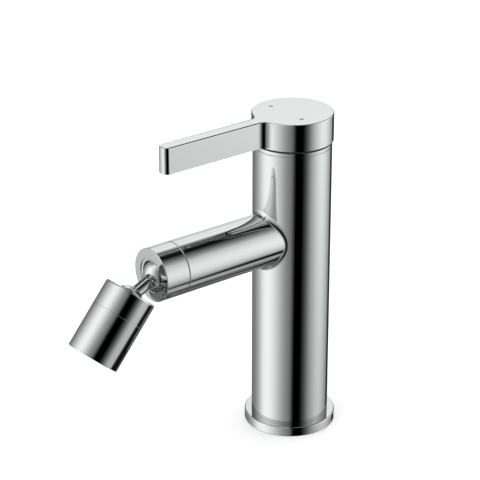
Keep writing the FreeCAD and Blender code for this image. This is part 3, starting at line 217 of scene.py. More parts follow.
def moulded_rubber():
    """Moulded EPDM rubber: black with a dusty bloom that greys it in 2 mm patches."""
    material, tree, shader, place = new_material("epdm_rubber_moulded", "1b1b1c", 0.0, 0.7)
    bloom = add_node(tree, "ShaderNodeTexNoise", Vector=place, Scale=per_mm(2.0), Detail=4.0)
    shade = add_node(tree, "ShaderNodeMix", {"data_type": "RGBA"}, Factor=bloom.outputs["Fac"],
                     _6=linear("161617"), _7=linear("2b2b2c"))
    matt = add_node(tree, "ShaderNodeMapRange", Value=bloom.outputs["Fac"], To_Min=0.6, To_Max=0.82)
    tree.links.new(shade.outputs[2], shader.inputs["Base Color"])
    tree.links.new(matt.outputs["Result"], shader.inputs["Roughness"])
    return material


def fired_enamel(name, colour, deep_colour):
    """Fired enamel in a small well: glossy, a little darker in 0.6 mm patches where it lies thick."""
    material, tree, shader, place = new_material(name, colour, 0.0, 0.25)
    shader.inputs["Coat Weight"].default_value = 0.4
    cloud = add_node(tree, "ShaderNodeTexNoise", Vector=place, Scale=per_mm(0.6), Detail=2.0)
    shade = add_node(tree, "ShaderNodeMix", {"data_type": "RGBA"}, Factor=cloud.outputs["Fac"],
                     _6=linear(colour), _7=linear(deep_colour))
    tree.links.new(shade.outputs[2], shader.inputs["Base Color"])
    return material


def floor_paint():
    """Rolled matt white paint of the studio's floor: pale, with a gloss that drifts over 300 mm."""
    material, tree, shader, place = new_material("studio_floor_matt_white", "f8f8f8", 0.0, 0.9)
    cloud = add_node(tree, "ShaderNodeTexNoise", Vector=place, Scale=per_mm(300.0), Detail=2.0)
    matt = add_node(tree, "ShaderNodeMapRange", Value=cloud.outputs["Fac"], To_Min=0.85, To_Max=0.95)
    tree.links.new(matt.outputs["Result"], shader.inputs["Roughness"])
    return material


CHROME = chrome_plate()
FINISHES = {
    "chromed_brass": CHROME,
    "chromed_zinc": CHROME,
    "chromed_plastic": chrome_on_plastic(),
    "brass": turned_brass(),
    "stainless_steel": turned_stainless(),
    "white_acetal": moulded_acetal("acetal_white_moulded", "e8e8e4"),
    "grey_acetal": moulded_acetal("acetal_grey_moulded", "a3a5a7"),
    "ptfe": turned_ptfe(),
    "alumina": lapped_alumina(),
    # The wiper ring on the band's ledge under the lever takes this black rubber too. It is a glide ring a tap of
    # this kind has, and its black is also painted shade for the dark gap between lever and band.
    "black_rubber": moulded_rubber(),
    "red_enamel": fired_enamel("enamel_red", "6e6062", "5c4e50"),
    "blue_enamel": fired_enamel("enamel_blue", "50585f", "40474e"),
}


# Ways of making a piece

def deselect_all():
    """Leave edit mode and select nothing."""
    if bpy.context.object and bpy.context.object.mode != "OBJECT":
        bpy.ops.object.mode_set(mode="OBJECT")
    bpy.ops.object.select_all(action="DESELECT")


def select_only(piece):
    """Make one piece the only one that the next operators work on."""
    deselect_all()
    piece.select_set(True)
    bpy.context.view_layer.objects.active = piece


def arc(centre_up, radius, start, end, steps):
    """Profile points on a circle round a centre on the axis; 0 degrees points up the axis."""
    turns = [math.radians(start + (end - start) * step / steps) for step in range(steps + 1)]
    return [(radius * math.sin(turn), centre_up + radius * math.cos(turn), 0) for turn in turns]


def degrees_at(across, radius):
    """Angle from a ball's axis to the circle on it that has this radius."""
    return math.degrees(math.asin(across / radius))


def rounded(corners):
    """Profile points of (across, up, round) corners, each round drawn as an arc."""
    points = []
    for index, (across, up, size) in enumerate(corners):
        corner = Vector((across, up))
        if size == 0:
            points.append(corner)
            continue
        before = (Vector(corners[index - 1][:2]) - corner).normalized()
        after = (Vector(corners[(index + 1) % len(corners)][:2]) - corner).normalized()
        half = before.angle(after) / 2
        centre = corner + (before + after).normalized() * size / math.sin(half)
        first = (corner + before * size / math.tan(half) - centre).normalized()
        last = (corner + after * size / math.tan(half) - centre).normalized()
        steps = range(ROUND_STEPS + 1)
        points.extend(centre + first.slerp(last, step / ROUND_STEPS) * size for step in steps)
    return points


def turned(name, corners, bored=True, sides=SIDES):
    """Turn a profile of (radius, height, round) corners round the Z axis, ring by ring, as on a lathe.

    On a bored piece the last ring meets the first. On a solid one both ends are closed by flat faces.
    """
    profile = rounded(corners)
    if bored:
        profile.append(profile[0])
    deselect_all()
    bpy.ops.mesh.primitive_circle_add(vertices=sides, radius=profile[0].x * MM,
                                      fill_type="NOTHING" if bored else "NGON")
    piece = bpy.context.object
    piece.name = name
    bpy.ops.object.mode_set(mode="EDIT")
    bpy.ops.mesh.select_all(action="SELECT")
    bpy.ops.transform.translate(value=(0, 0, profile[0].y * MM))
    for last, now in zip(profile, profile[1:]):
        rise = (0, 0, (now.y - last.y) * MM)
        growth = now.x / last.x
        if bored:
            bpy.ops.mesh.extrude_edges_move(TRANSFORM_OT_translate={"value": rise})
        else:
            bpy.ops.mesh.extrude_region_move(TRANSFORM_OT_translate={"value": rise})
        bpy.ops.transform.resize(value=(growth, growth, 1), center_override=(0, 0, 0))
    bpy.ops.mesh.select_all(action="SELECT")
    bpy.ops.mesh.remove_doubles(threshold=SAME_POINT)
    bpy.ops.mesh.normals_make_consistent(inside=False)
    bpy.ops.object.mode_set(mode="OBJECT")
    return piece


def lay_along(piece, centre, direction):
    """Turn a piece about X from the Z axis until it points along direction, and move it to its centre."""
    select_only(piece)
    piece.rotation_euler = (math.atan2(-direction.y, direction.z), 0, 0)
    piece.location = centre
    bpy.ops.object.transform_apply(location=True, rotation=True, scale=True)


def use_modifier(piece, kind, **settings):
    """Add one modifier and apply it."""
    select_only(piece)
    modifier = piece.modifiers.new(kind.lower(), kind)
    for name, value in settings.items():
        setattr(modifier, name, value)
    bpy.ops.object.modifier_apply(modifier=modifier.name)


def cut(piece, tool):
    """Cut a tool's shape out of a piece and throw the tool away."""
    use_modifier(piece, "BOOLEAN", operation="DIFFERENCE", object=tool, solver="EXACT")
    bpy.data.objects.remove(tool)


def drill(piece, radius, start, end, along="Z"):
    """Drill a round hole from a spot up to a height, or back to a distance where it runs along Y."""
    spot = Vector(start)
    length = end - (spot.z if along == "Z" else spot.y)
    turn = 0 if along == "Z" else -math.pi / 2
    reach = Vector((0, 0, length / 2)) if along == "Z" else Vector((0, length / 2, 0))
    deselect_all()
    bpy.ops.mesh.primitive_cylinder_add(vertices=SIDES // 4, radius=radius * MM, depth=length * MM,
                                        location=(spot + reach) * MM, rotation=(turn, 0, 0))
    tool = bpy.context.object
    bpy.ops.object.transform_apply(location=True, rotation=True)
    cut(piece, tool)


def finish_piece(piece, body, slot, *nodes):
    """Smooth a piece's rounds, give it its finish and hang it on its body."""
    select_only(piece)
    bpy.ops.object.shade_smooth_by_angle(angle=SMOOTH_ANGLE)
    use_modifier(piece, "WEIGHTED_NORMAL", mode="FACE_AREA", weight=50, keep_sharp=True)
    piece.data.materials.clear()
    piece.data.materials.append(FINISHES[slot])
    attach(piece, body)
    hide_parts(*nodes)


# Column, base ring and the bright band

def make_column():
    """Turned foot, column and cartridge bore, drilled for the hoses and studs."""
    groove_floor, groove_top, groove_radius = 2.3, 3.6, 16.8
    bore_radius, bore_floor, thread_floor = 17.7, 124.0, 149.5
    column = turned("column", [
        (FOOT_RADIUS, 0, 0), (FOOT_RADIUS, groove_floor, 0), (groove_radius, groove_floor, 0),
        (groove_radius, groove_top, 0), (FOOT_RADIUS, groove_top, 0), (FOOT_RADIUS, RING_TOP, 0),
        (BODY_RADIUS, RING_TOP, SEAM_ROUND), (BODY_RADIUS, BODY_TOP, SEAM_ROUND),
        (THREAD_RADIUS, BODY_TOP, 0), (THREAD_RADIUS, thread_floor, 0), (bore_radius, thread_floor, 0),
        (bore_radius, bore_floor, 0),
    ], bored=False)
    for name in ("hot_inlet", "cold_inlet", "front_stud", "rear_stud"):
        spot = Vector(MOUNTS[name]["pos_m"]) / MM
        dims = MOUNTS[name]["dims"]
        drill(column, dims["r_mm"], (spot.x, spot.y, -CUT_PAST), dims["length_mm"])
    finish_piece(column, "root", "chromed_brass", "column_body")


def make_base_ring():
    """Loose bright ring under the column, with the gasket's groove below."""
    gasket_inner, gasket_outer, gasket_height = 19.4, 23.2, 1.6
    bore, edge_round, top_round = FOOT_RADIUS + FIT_GAP, 0.25, 0.6
    ring = turned("deck_ring", [
        (bore, 0, 0), (gasket_inner, 0, 0), (gasket_inner, gasket_height, 0),
        (gasket_outer, gasket_height, 0), (gasket_outer, 0, 0), (RING_RADIUS, 0, edge_round),
        (RING_RADIUS, RING_TOP, top_round), (bore, RING_TOP, 0),
    ])
    finish_piece(ring, "root", "chromed_brass", "base_ring")


def make_bright_band():
    """Band above the column, ledge for the wiper ring and the dome that the lever slides over."""
    band_top, ledge_wall = BODY_TOP + BAND_HEIGHT, 1.1
    wall, skirt_bore, skirt_length, opening = 1.8, 16.5, 3.5, 45.5
    top_round, dome_steps = 0.08, 24
    inner = DOME_RADIUS - wall
    ledge = BODY_RADIUS - ledge_wall
    skirt, skirt_bottom = THREAD_RADIUS - FIT_GAP, BODY_TOP - skirt_length
    seam_floor, seam_edge = BODY_RADIUS - SEAM_DEPTH, BODY_TOP + SEAM_GAP
    outer_foot, inner_foot = degrees_at(ledge, DOME_RADIUS), degrees_at(skirt_bore, inner)
    band = turned("bright_band", [
        (skirt_bore, skirt_bottom, 0), (skirt, skirt_bottom, 0), (skirt, BODY_TOP, 0),
        (seam_floor, BODY_TOP, 0), (seam_floor, seam_edge, 0), (BODY_RADIUS, seam_edge, SEAM_EDGE),
        (BODY_RADIUS, band_top, top_round), (ledge, band_top, 0),
        *arc(PIVOT_UP, DOME_RADIUS, outer_foot, opening, dome_steps),
        *arc(PIVOT_UP, inner, opening, inner_foot, dome_steps),
    ])
    finish_piece(band, "root", "chromed_brass", "dome_ring")


# Spout

def make_spout():
    """Tube whose root flares into the column in a hollow corner."""
    plug_radius, plug_start, plug_back = SPOUT_RADIUS - 4.2, 9.2, 1.0
    bore, bore_start, root_round, flare_steps = 12.0, 26.0, 3.0, 12
    wall = BODY_RADIUS + FIT_GAP
    flare = [(SPOUT_RADIUS, wall + step, 0) for step in range(flare_steps + 1)]
    tube = turned("spout", [
        (plug_radius, plug_start, 0), (plug_radius, wall - plug_back, 0), *flare,
        (SPOUT_RADIUS, SPOUT_SEAM, SEAM_ROUND), (bore, SPOUT_SEAM, 0), (bore, bore_start, 0),
    ], bored=False)

    # Each ring of the flare is laid on the hollow corner between the column's wall and the spout's
    points = tube.data.vertices
    turns = [math.atan2(points[index].co.y, points[index].co.x) for index in range(SIDES)]
    for step in range(flare_steps + 1):
        for index, turn in enumerate(turns):
            around = Vector((math.cos(turn), math.sin(turn)))
            middle_x = around.x * (SPOUT_RADIUS + root_round)
            middle_out = math.sqrt((wall + root_round) ** 2 - middle_x ** 2)
            middle = Vector((middle_x, around.y * (SPOUT_RADIUS + root_round), middle_out))
            to_column = -Vector((middle.x, 0, middle.z)).normalized()
            to_spout = -Vector((around.x, around.y, 0))
            spot = middle + to_column.slerp(to_spout, step / flare_steps) * root_round
            points[(step + 2) * SIDES + index].co = spot * MM

    # The plug's shoulder follows the column's round wall
    for index in range(SIDES, 2 * SIDES):
        across = points[index].co.x / MM
        points[index].co.z = math.sqrt(wall ** 2 - across ** 2) * MM
    lay_along(tube, Vector((0, 0, FIRST_BALL.z)), SPOUT_AXIS)
    finish_piece(tube, "root", "chromed_brass", "spout_tube")


def make_spout_collar():
    """End piece with a shadow groove at its seam and a flat recess round the ball's opening."""
    seat, plug, plug_start = 9.6, 11.95, SPOUT_SEAM - 9.0
    hole, recess, recess_floor, lip = 7.6, 9.4, SPOUT_END - 0.4, SPOUT_END - 1.65
    hole_round, recess_round = 0.1, 0.06
    seam_floor, seam_edge = SPOUT_RADIUS - SEAM_DEPTH, SPOUT_SEAM + SEAM_GAP
    collar = turned("spout_collar", [
        (seat, plug_start, 0), (plug, plug_start, 0), (plug, SPOUT_SEAM, 0),
        (seam_floor, SPOUT_SEAM, 0), (seam_floor, seam_edge, 0), (SPOUT_RADIUS, seam_edge, SEAM_EDGE),
        (SPOUT_RADIUS, SPOUT_END, EDGE_ROUND), (recess, SPOUT_END, recess_round), (recess, recess_floor, 0),
        (hole, recess_floor, hole_round), (hole, lip, 0), (seat, lip, 0),
    ])
    lay_along(collar, Vector((0, 0, FIRST_BALL.z)), SPOUT_AXIS)
    finish_piece(collar, "root", "chromed_brass", "spout_end_collar")


# Double ball joint

NECK_RADIUS, NECK_BORE = 3.3, 1.8
STUB_RADIUS = NECK_RADIUS - 0.4
BALL_STEPS = 40


def make_neck():
    """Ball and neck turned from one bar, with the thin end that the second ball turns on."""
    shoulder_back, stub_past = 6.82, 6.39
    spacing = (SECOND_BALL - FIRST_BALL).length / MM
    shoulder, end = spacing - shoulder_back, spacing + stub_past
    back_turn, neck_turn = 180 - degrees_at(NECK_BORE, BALL_RADIUS), degrees_at(NECK_RADIUS, BALL_RADIUS)
    neck = turned("neck", [
        *arc(0, BALL_RADIUS, back_turn, neck_turn, BALL_STEPS),
        (NECK_RADIUS, shoulder, SEAM_ROUND), (STUB_RADIUS, shoulder, 0), (STUB_RADIUS, end, 0),
        (NECK_BORE, end, 0),
    ])
    lay_along(neck, FIRST_BALL, NECK_AXIS)
    finish_piece(neck, "neck", "chromed_brass", "swivel_neck")


def make_second_ball():
    """Ball that turns on the neck's thin end, with the pocket for the neck and the seat for its nut."""
    mouth, nut_seat, bore = 4.2, 4.94, STUB_RADIUS + FIT_GAP
    pocket, pocket_floor = NECK_RADIUS + 0.1, -6.77
    pocket_turn, mouth_turn = 180 - degrees_at(pocket, BALL_RADIUS), degrees_at(mouth, BALL_RADIUS)
    ball = turned("second_ball", [
        *arc(0, BALL_RADIUS, pocket_turn, mouth_turn, BALL_STEPS),
        (mouth, nut_seat, 0), (bore, nut_seat, 0), (bore, pocket_floor, 0), (pocket, pocket_floor, 0),
    ])
    lay_along(ball, SECOND_BALL, NECK_AXIS)
    finish_piece(ball, "ball", "chromed_brass", "swivel_ball")


# Spray head

# Radius of the shells' thread, and places along the head's axis from the second ball's middle
HEAD_THREAD = 11.5
HEAD_TOP = -5.1
HEAD_SEAM = 8.3
SEAT_BOTTOM = 3.0


def make_head_top():
    """Upper shell, whose round hollow and mouth hold the second ball."""
    roof, seat, hollow = -3.3, 10.55, BALL_RADIUS + 0.3
    mouth_up, mouth_flare = HEAD_TOP + 0.28, 0.35
    mouth = math.sqrt(hollow ** 2 - mouth_up ** 2)
    roof_turn, mouth_turn = (math.degrees(math.acos(up / hollow)) for up in (roof, mouth_up))
    shell = turned("head_top", [
        (mouth + mouth_flare, HEAD_TOP, 0), (HEAD_RADIUS, HEAD_TOP, HEAD_ROUND),
        (HEAD_RADIUS, HEAD_SEAM, SEAM_ROUND), (HEAD_THREAD, HEAD_SEAM, 0), (HEAD_THREAD, SEAT_BOTTOM, 0),
        (seat, SEAT_BOTTOM, 0), (seat, roof, 0),
        *arc(0, hollow, roof_turn, mouth_turn, ROUND_STEPS),
    ])
    lay_along(shell, SECOND_BALL, HEAD_AXIS)
    finish_piece(shell, "head", "chromed_brass", "head_upper_shell")


def make_head_barrel():
    """Lower shell, from the ball's seal down to the rim round the aerator."""
    rim, aerator_length, rim_round = 1.3, 13.7, 0.25
    aerator_end = (OUTLET - SECOND_BALL).length / MM
    end, aerator_start = aerator_end + rim, aerator_end - aerator_length
    outlet, chamber, chamber_start = 11.8, 9.0, 10.0
    plug, seal_bore, seal_floor = HEAD_THREAD - FIT_GAP, 8.8, 5.78
    groove_radius, groove_start, groove_end = plug - 1.2, 6.2, 7.5
    throat, throat_flare = 7.0, 1.4
    barrel = turned("head_barrel", [
        (seal_bore, SEAT_BOTTOM, 0), (plug, SEAT_BOTTOM, 0), (plug, groove_start, 0),
        (groove_radius, groove_start, 0), (groove_radius, groove_end, 0), (plug, groove_end, 0),
        (plug, HEAD_SEAM, 0), (HEAD_RADIUS, HEAD_SEAM, SEAM_ROUND), (HEAD_RADIUS, end, EDGE_ROUND),
        (outlet, end, rim_round), (outlet, aerator_start, 0), (chamber, aerator_start, 0),
        (chamber, chamber_start, 0), (throat, chamber_start - throat_flare, 0), (throat, seal_floor, 0),
        (seal_bore, seal_floor, 0),
    ])
    lay_along(barrel, SECOND_BALL, HEAD_AXIS)
    finish_piece(barrel, "head", "chromed_brass", "head_lower_shell")


# Lever

def plan_arc(centre, radius, start, end, steps):
    """Points of a plan arc; 0 degrees points along +X."""
    turns = [math.radians(start + (end - start) * step / steps) for step in range(steps + 1)]
    return [centre + Vector((math.cos(turn), math.sin(turn))) * radius for turn in turns]


def blade_nose():
    """The tip's plan, left to right: a gentle middle curve, a round on each side and two facets."""
    middle_round, side_round, facet_width, facet_turn = 9.0, 2.2, 0.79, math.radians(60)
    middle_steps, side_steps, facet_steps = 8, 12, 2
    facet_x = BLADE_HALF - facet_width
    round_x = facet_x - side_round * math.sin(facet_turn)
    middle = Vector((0, middle_round - BLADE_TIP))
    side_turn = math.asin(round_x / (middle_round - side_round))
    side = middle + Vector((math.sin(side_turn), -math.cos(side_turn))) * (middle_round - side_round)
    turn = math.degrees(side_turn)
    right = plan_arc(side, side_round, turn - 90, math.degrees(facet_turn) - 90, side_steps)
    corner = Vector((BLADE_HALF, right[-1].y + facet_width * math.tan(facet_turn)))
    right += [right[-1].lerp(corner, step / facet_steps) for step in range(1, facet_steps + 1)]
    left = [Vector((-spot.x, spot.y)) for spot in reversed(right)]
    return left + plan_arc(middle, middle_round, -90 - turn, turn - 90, middle_steps)[1:-1] + right


def pick(piece, kind, wanted):
    """Select the faces or edges of a piece for which wanted(one) is true, in edit mode."""
    select_only(piece)
    bpy.ops.object.mode_set(mode="EDIT")
    bpy.ops.mesh.select_mode(type=kind)
    bpy.ops.mesh.select_all(action="DESELECT")
    bpy.ops.object.mode_set(mode="OBJECT")
    for one in (piece.data.polygons if kind == "FACE" else piece.data.edges):
        one.select = wanted(one)
    bpy.ops.object.mode_set(mode="EDIT")


def make_cap(touch_turn, front_steps):
    """Round cap in two layers that meet at the blade's underside, with even points across its front."""
    back_steps = 300
    front = plan_arc(Vector((0, 0)), CAP_RADIUS, -90 - touch_turn, touch_turn - 90, front_steps)
    back = plan_arc(Vector((0, 0)), CAP_RADIUS, touch_turn - 90, 270 - touch_turn, back_steps)
    around = front + back[1:-1]
    deselect_all()
    bpy.ops.mesh.primitive_circle_add(vertices=len(around), radius=CAP_RADIUS * MM, fill_type="NGON")
    cap = bpy.context.object
    for vertex, spot in zip(cap.data.vertices, around):
        vertex.co = (spot.x * MM, spot.y * MM, CAP_BOTTOM * MM)
    bpy.ops.object.mode_set(mode="EDIT")
    bpy.ops.mesh.select_all(action="SELECT")
    for rise in (BLADE_BOTTOM - CAP_BOTTOM, CAP_TOP - BLADE_BOTTOM):
        bpy.ops.mesh.extrude_region_move(TRANSFORM_OT_translate={"value": (0, 0, rise * MM)})
    bpy.ops.mesh.select_all(action="SELECT")
    bpy.ops.mesh.normals_make_consistent(inside=False)
    bpy.ops.object.mode_set(mode="OBJECT")
    return cap


def root_outlines(corner, touch, touch_turn, front_steps):
    """Plans of the blade's growing front, from the cap's round edge to the straight end of its root.

    The front's ends follow the hollow corner, and its bulge goes flat on the way.
    """
    root_steps = 14
    sides = plan_arc(corner, BLADE_ROOT_ROUND, 90 + touch_turn, 180, root_steps)[1:]
    shares = [2 * index / front_steps - 1 for index in range(front_steps + 1)]
    bulge = CAP_RADIUS + touch.y
    outlines = []
    for step, side in enumerate(sides, start=1):
        left_over = bulge * (1 - step / root_steps)
        outlines.append([Vector((share * side.x, side.y - left_over * (1 - share ** 2))) for share in shares])
    return outlines


def draw_out_blade(lever, touch, outlines):
    """Draw the cap's front faces out through a row of outlines, each given from left to right."""
    blade_middle = (BLADE_BOTTOM + CAP_TOP) / 2 * MM

    def is_front(face):
        return (abs(face.center.z - blade_middle) < MM and face.normal.y < -0.5
                and math.hypot(face.center.x, face.center.y) < CAP_RADIUS * MM
                and abs(face.center.x) < touch.x * MM)

    pick(lever, "FACE", is_front)
    for outline in outlines:
        bpy.ops.mesh.extrude_region_move(TRANSFORM_OT_translate={"value": (0, -MM, 0)})
        bpy.ops.object.mode_set(mode="OBJECT")
        moved = sorted((vertex for vertex in lever.data.vertices if vertex.select),
                       key=lambda vertex: (round(vertex.co.z / MM), vertex.co.x))
        for vertex, spot in zip(moved, outline + outline):
            vertex.co.x, vertex.co.y = spot.x * MM, spot.y * MM
        bpy.ops.object.mode_set(mode="EDIT")
    bpy.ops.object.mode_set(mode="OBJECT")


def round_upper_edge(lever):
    """Round the edge that runs all the way about the flat top."""
    edge_round, round_steps = 0.65, 4
    tops = [face for face in lever.data.polygons if face.normal.z > LEVEL_FACE]
    uses = Counter(key for face in tops for key in face.edge_keys)

    def is_upper_edge(edge):
        ends = [lever.data.vertices[index].co for index in edge.vertices]
        return uses[edge.key] == 1 and all(abs(end.z - CAP_TOP * MM) < SAME_POINT for end in ends)

    pick(lever, "EDGE", is_upper_edge)
    bpy.ops.mesh.bevel(offset=edge_round * MM, segments=round_steps, affect="EDGES", clamp_overlap=False)
    bpy.ops.object.mode_set(mode="OBJECT")


def hollow_lever(lever):
    """Sink the round hollow that clears the dome, round the boss that grips the cartridge's stem."""
    dome_clearance, hollow_steps = 0.3, 12
    boss, boss_bottom, socket, socket_top = 7.0, 171.2, 8.1, 177.0
    socket_start = boss_bottom - 2 * CUT_PAST
    hollow, near_bottom = DOME_RADIUS + dome_clearance, CAP_BOTTOM + 0.1
    edge_turn = math.degrees(math.acos((CAP_BOTTOM - PIVOT_UP) / hollow))
    rings = [Vector(spot[:2]) for spot in
             arc(PIVOT_UP, hollow, edge_turn, degrees_at(boss, hollow), hollow_steps)]
    rings.append(Vector((boss, boss_bottom)))
    pick(lever, "FACE", lambda face: face.normal.z < -LEVEL_FACE and face.center.z < near_bottom * MM)
    last = Vector((CAP_RADIUS, CAP_BOTTOM))
    for now in rings:
        bpy.ops.mesh.extrude_region_move(TRANSFORM_OT_translate={"value": (0, 0, (now.y - last.y) * MM)})
        bpy.ops.transform.resize(value=(now.x / last.x, now.x / last.x, 1), center_override=(0, 0, 0))
        last = now
    bpy.ops.mesh.select_all(action="SELECT")
    bpy.ops.mesh.normals_make_consistent(inside=False)
    bpy.ops.object.mode_set(mode="OBJECT")
    deselect_all()
    bpy.ops.mesh.primitive_cube_add(size=MM, location=(0, 0, (socket_start + socket_top) / 2 * MM),
                                    scale=(socket, socket, socket_top - socket_start))
    tool = bpy.context.object
    bpy.ops.object.transform_apply(location=True, scale=True)
    cut(lever, tool)
    drill_end = CAP_RADIUS + CUT_PAST
    drill(lever, SET_SCREW_RADIUS, (0, socket / 2 - CUT_PAST, SET_SCREW_UP), drill_end, "Y")
    drill(lever, PLUG_RADIUS + FIT_GAP, (0, CAP_RADIUS - PLUG_DEPTH, SET_SCREW_UP), drill_end, "Y")


def make_lever():
    """Round cap drawn out at the front into a blade, with a hollow below and two wells for the marks."""
    well, well_bottom, well_end = MARK_RADIUS + 0.025, CAP_TOP - MARK_DEPTH, CAP_TOP + CUT_PAST
    nose = blade_nose()
    front_steps = len(nose) - 1
    away, beside = CAP_RADIUS + BLADE_ROOT_ROUND, BLADE_HALF + BLADE_ROOT_ROUND
    corner = Vector((beside, -math.sqrt(away ** 2 - beside ** 2)))
    touch = corner * CAP_RADIUS / away
    touch_turn = math.degrees(math.atan2(touch.x, -touch.y))
    lever = make_cap(touch_turn, front_steps)
    lever.name = "lever"
    draw_out_blade(lever, touch, root_outlines(corner, touch, touch_turn, front_steps) + [nose])
    round_upper_edge(lever)
    hollow_lever(lever)
    for side in (-MARK_SIDE, MARK_SIDE):
        drill(lever, well, (side, -MARK_FORWARD, well_bottom), well_end)
    finish_piece(lever, "lever", "chromed_zinc", "lever_handle")


def make_marks():
    """Hot and cold dots, set flush in the cap, each with a slightly domed face."""
    core, edge_drop, edge_round, bottom = 0.1, 0.02, 0.08, CAP_TOP - MARK_DEPTH
    for name, side, slot in (("hot", -MARK_SIDE, "red_enamel"), ("cold", MARK_SIDE, "blue_enamel")):
        dot = turned(name + "_dot", [
            (core, bottom, 0), (MARK_RADIUS, bottom, 0), (MARK_RADIUS, CAP_TOP - edge_drop, edge_round),
            (core, CAP_TOP, 0),
        ], bored=False, sides=SIDES // 4)
        lay_along(dot, Vector((side, -MARK_FORWARD, 0)) * MM, Vector((0, 0, 1)))
        finish_piece(dot, "lever", slot, name + "_mark")


def make_plug():
    """Plastic plug over the set screw, with chamfered ends."""
    core, length, chamfer, shoulder_round, face_round = 0.2, 2.8, 0.4, 0.2, 0.1
    plug = turned("screw_plug", [
        (core, 0, 0), (PLUG_RADIUS - chamfer, 0, 0), (PLUG_RADIUS, chamfer, 0),
        (PLUG_RADIUS, length - chamfer, shoulder_round), (PLUG_RADIUS - chamfer, length, face_round),
        (core, length, 0),
    ], bored=False, sides=SIDES // 2)
    lay_along(plug, Vector((0, CAP_RADIUS - PLUG_DEPTH, SET_SCREW_UP)) * MM, Vector((0, 1, 0)))
    finish_piece(plug, "lever", "chromed_plastic", "handle_screw_plug")


# Studio

PHOTO_PLACE = Vector((708.429, -594.665, 515.804)) * MM
PHOTO_RIGHT = Vector((0.61992, 0.78466, 0.0))
PHOTO_UP = Vector((-0.31777, 0.25105, 0.91433))
PHOTO_LENS, FILM_WIDTH = 141.7, 36.0
FLOOR_WIDTH = 8.0


def make_camera():
    """The photograph's place and lens, from a fit to the tap's outlines."""
    bpy.ops.object.camera_add()
    camera = bpy.context.object
    back = PHOTO_RIGHT.cross(PHOTO_UP)
    turn = Matrix((PHOTO_RIGHT, PHOTO_UP, back)).transposed()
    camera.matrix_world = Matrix.Translation(PHOTO_PLACE) @ turn.to_4x4()
    camera.data.lens = PHOTO_LENS
    camera.data.sensor_width = FILM_WIDTH
    bpy.context.scene.camera = camera


def toward(azimuth, elevation):
    """The direction of a spot of the studio, seen from the tap; azimuth 0 is +X and 90 is +Y."""
    turn, rise = math.radians(azimuth), math.radians(elevation)
    return Vector((math.cos(turn) * math.cos(rise), math.sin(turn) * math.cos(rise), math.sin(rise)))


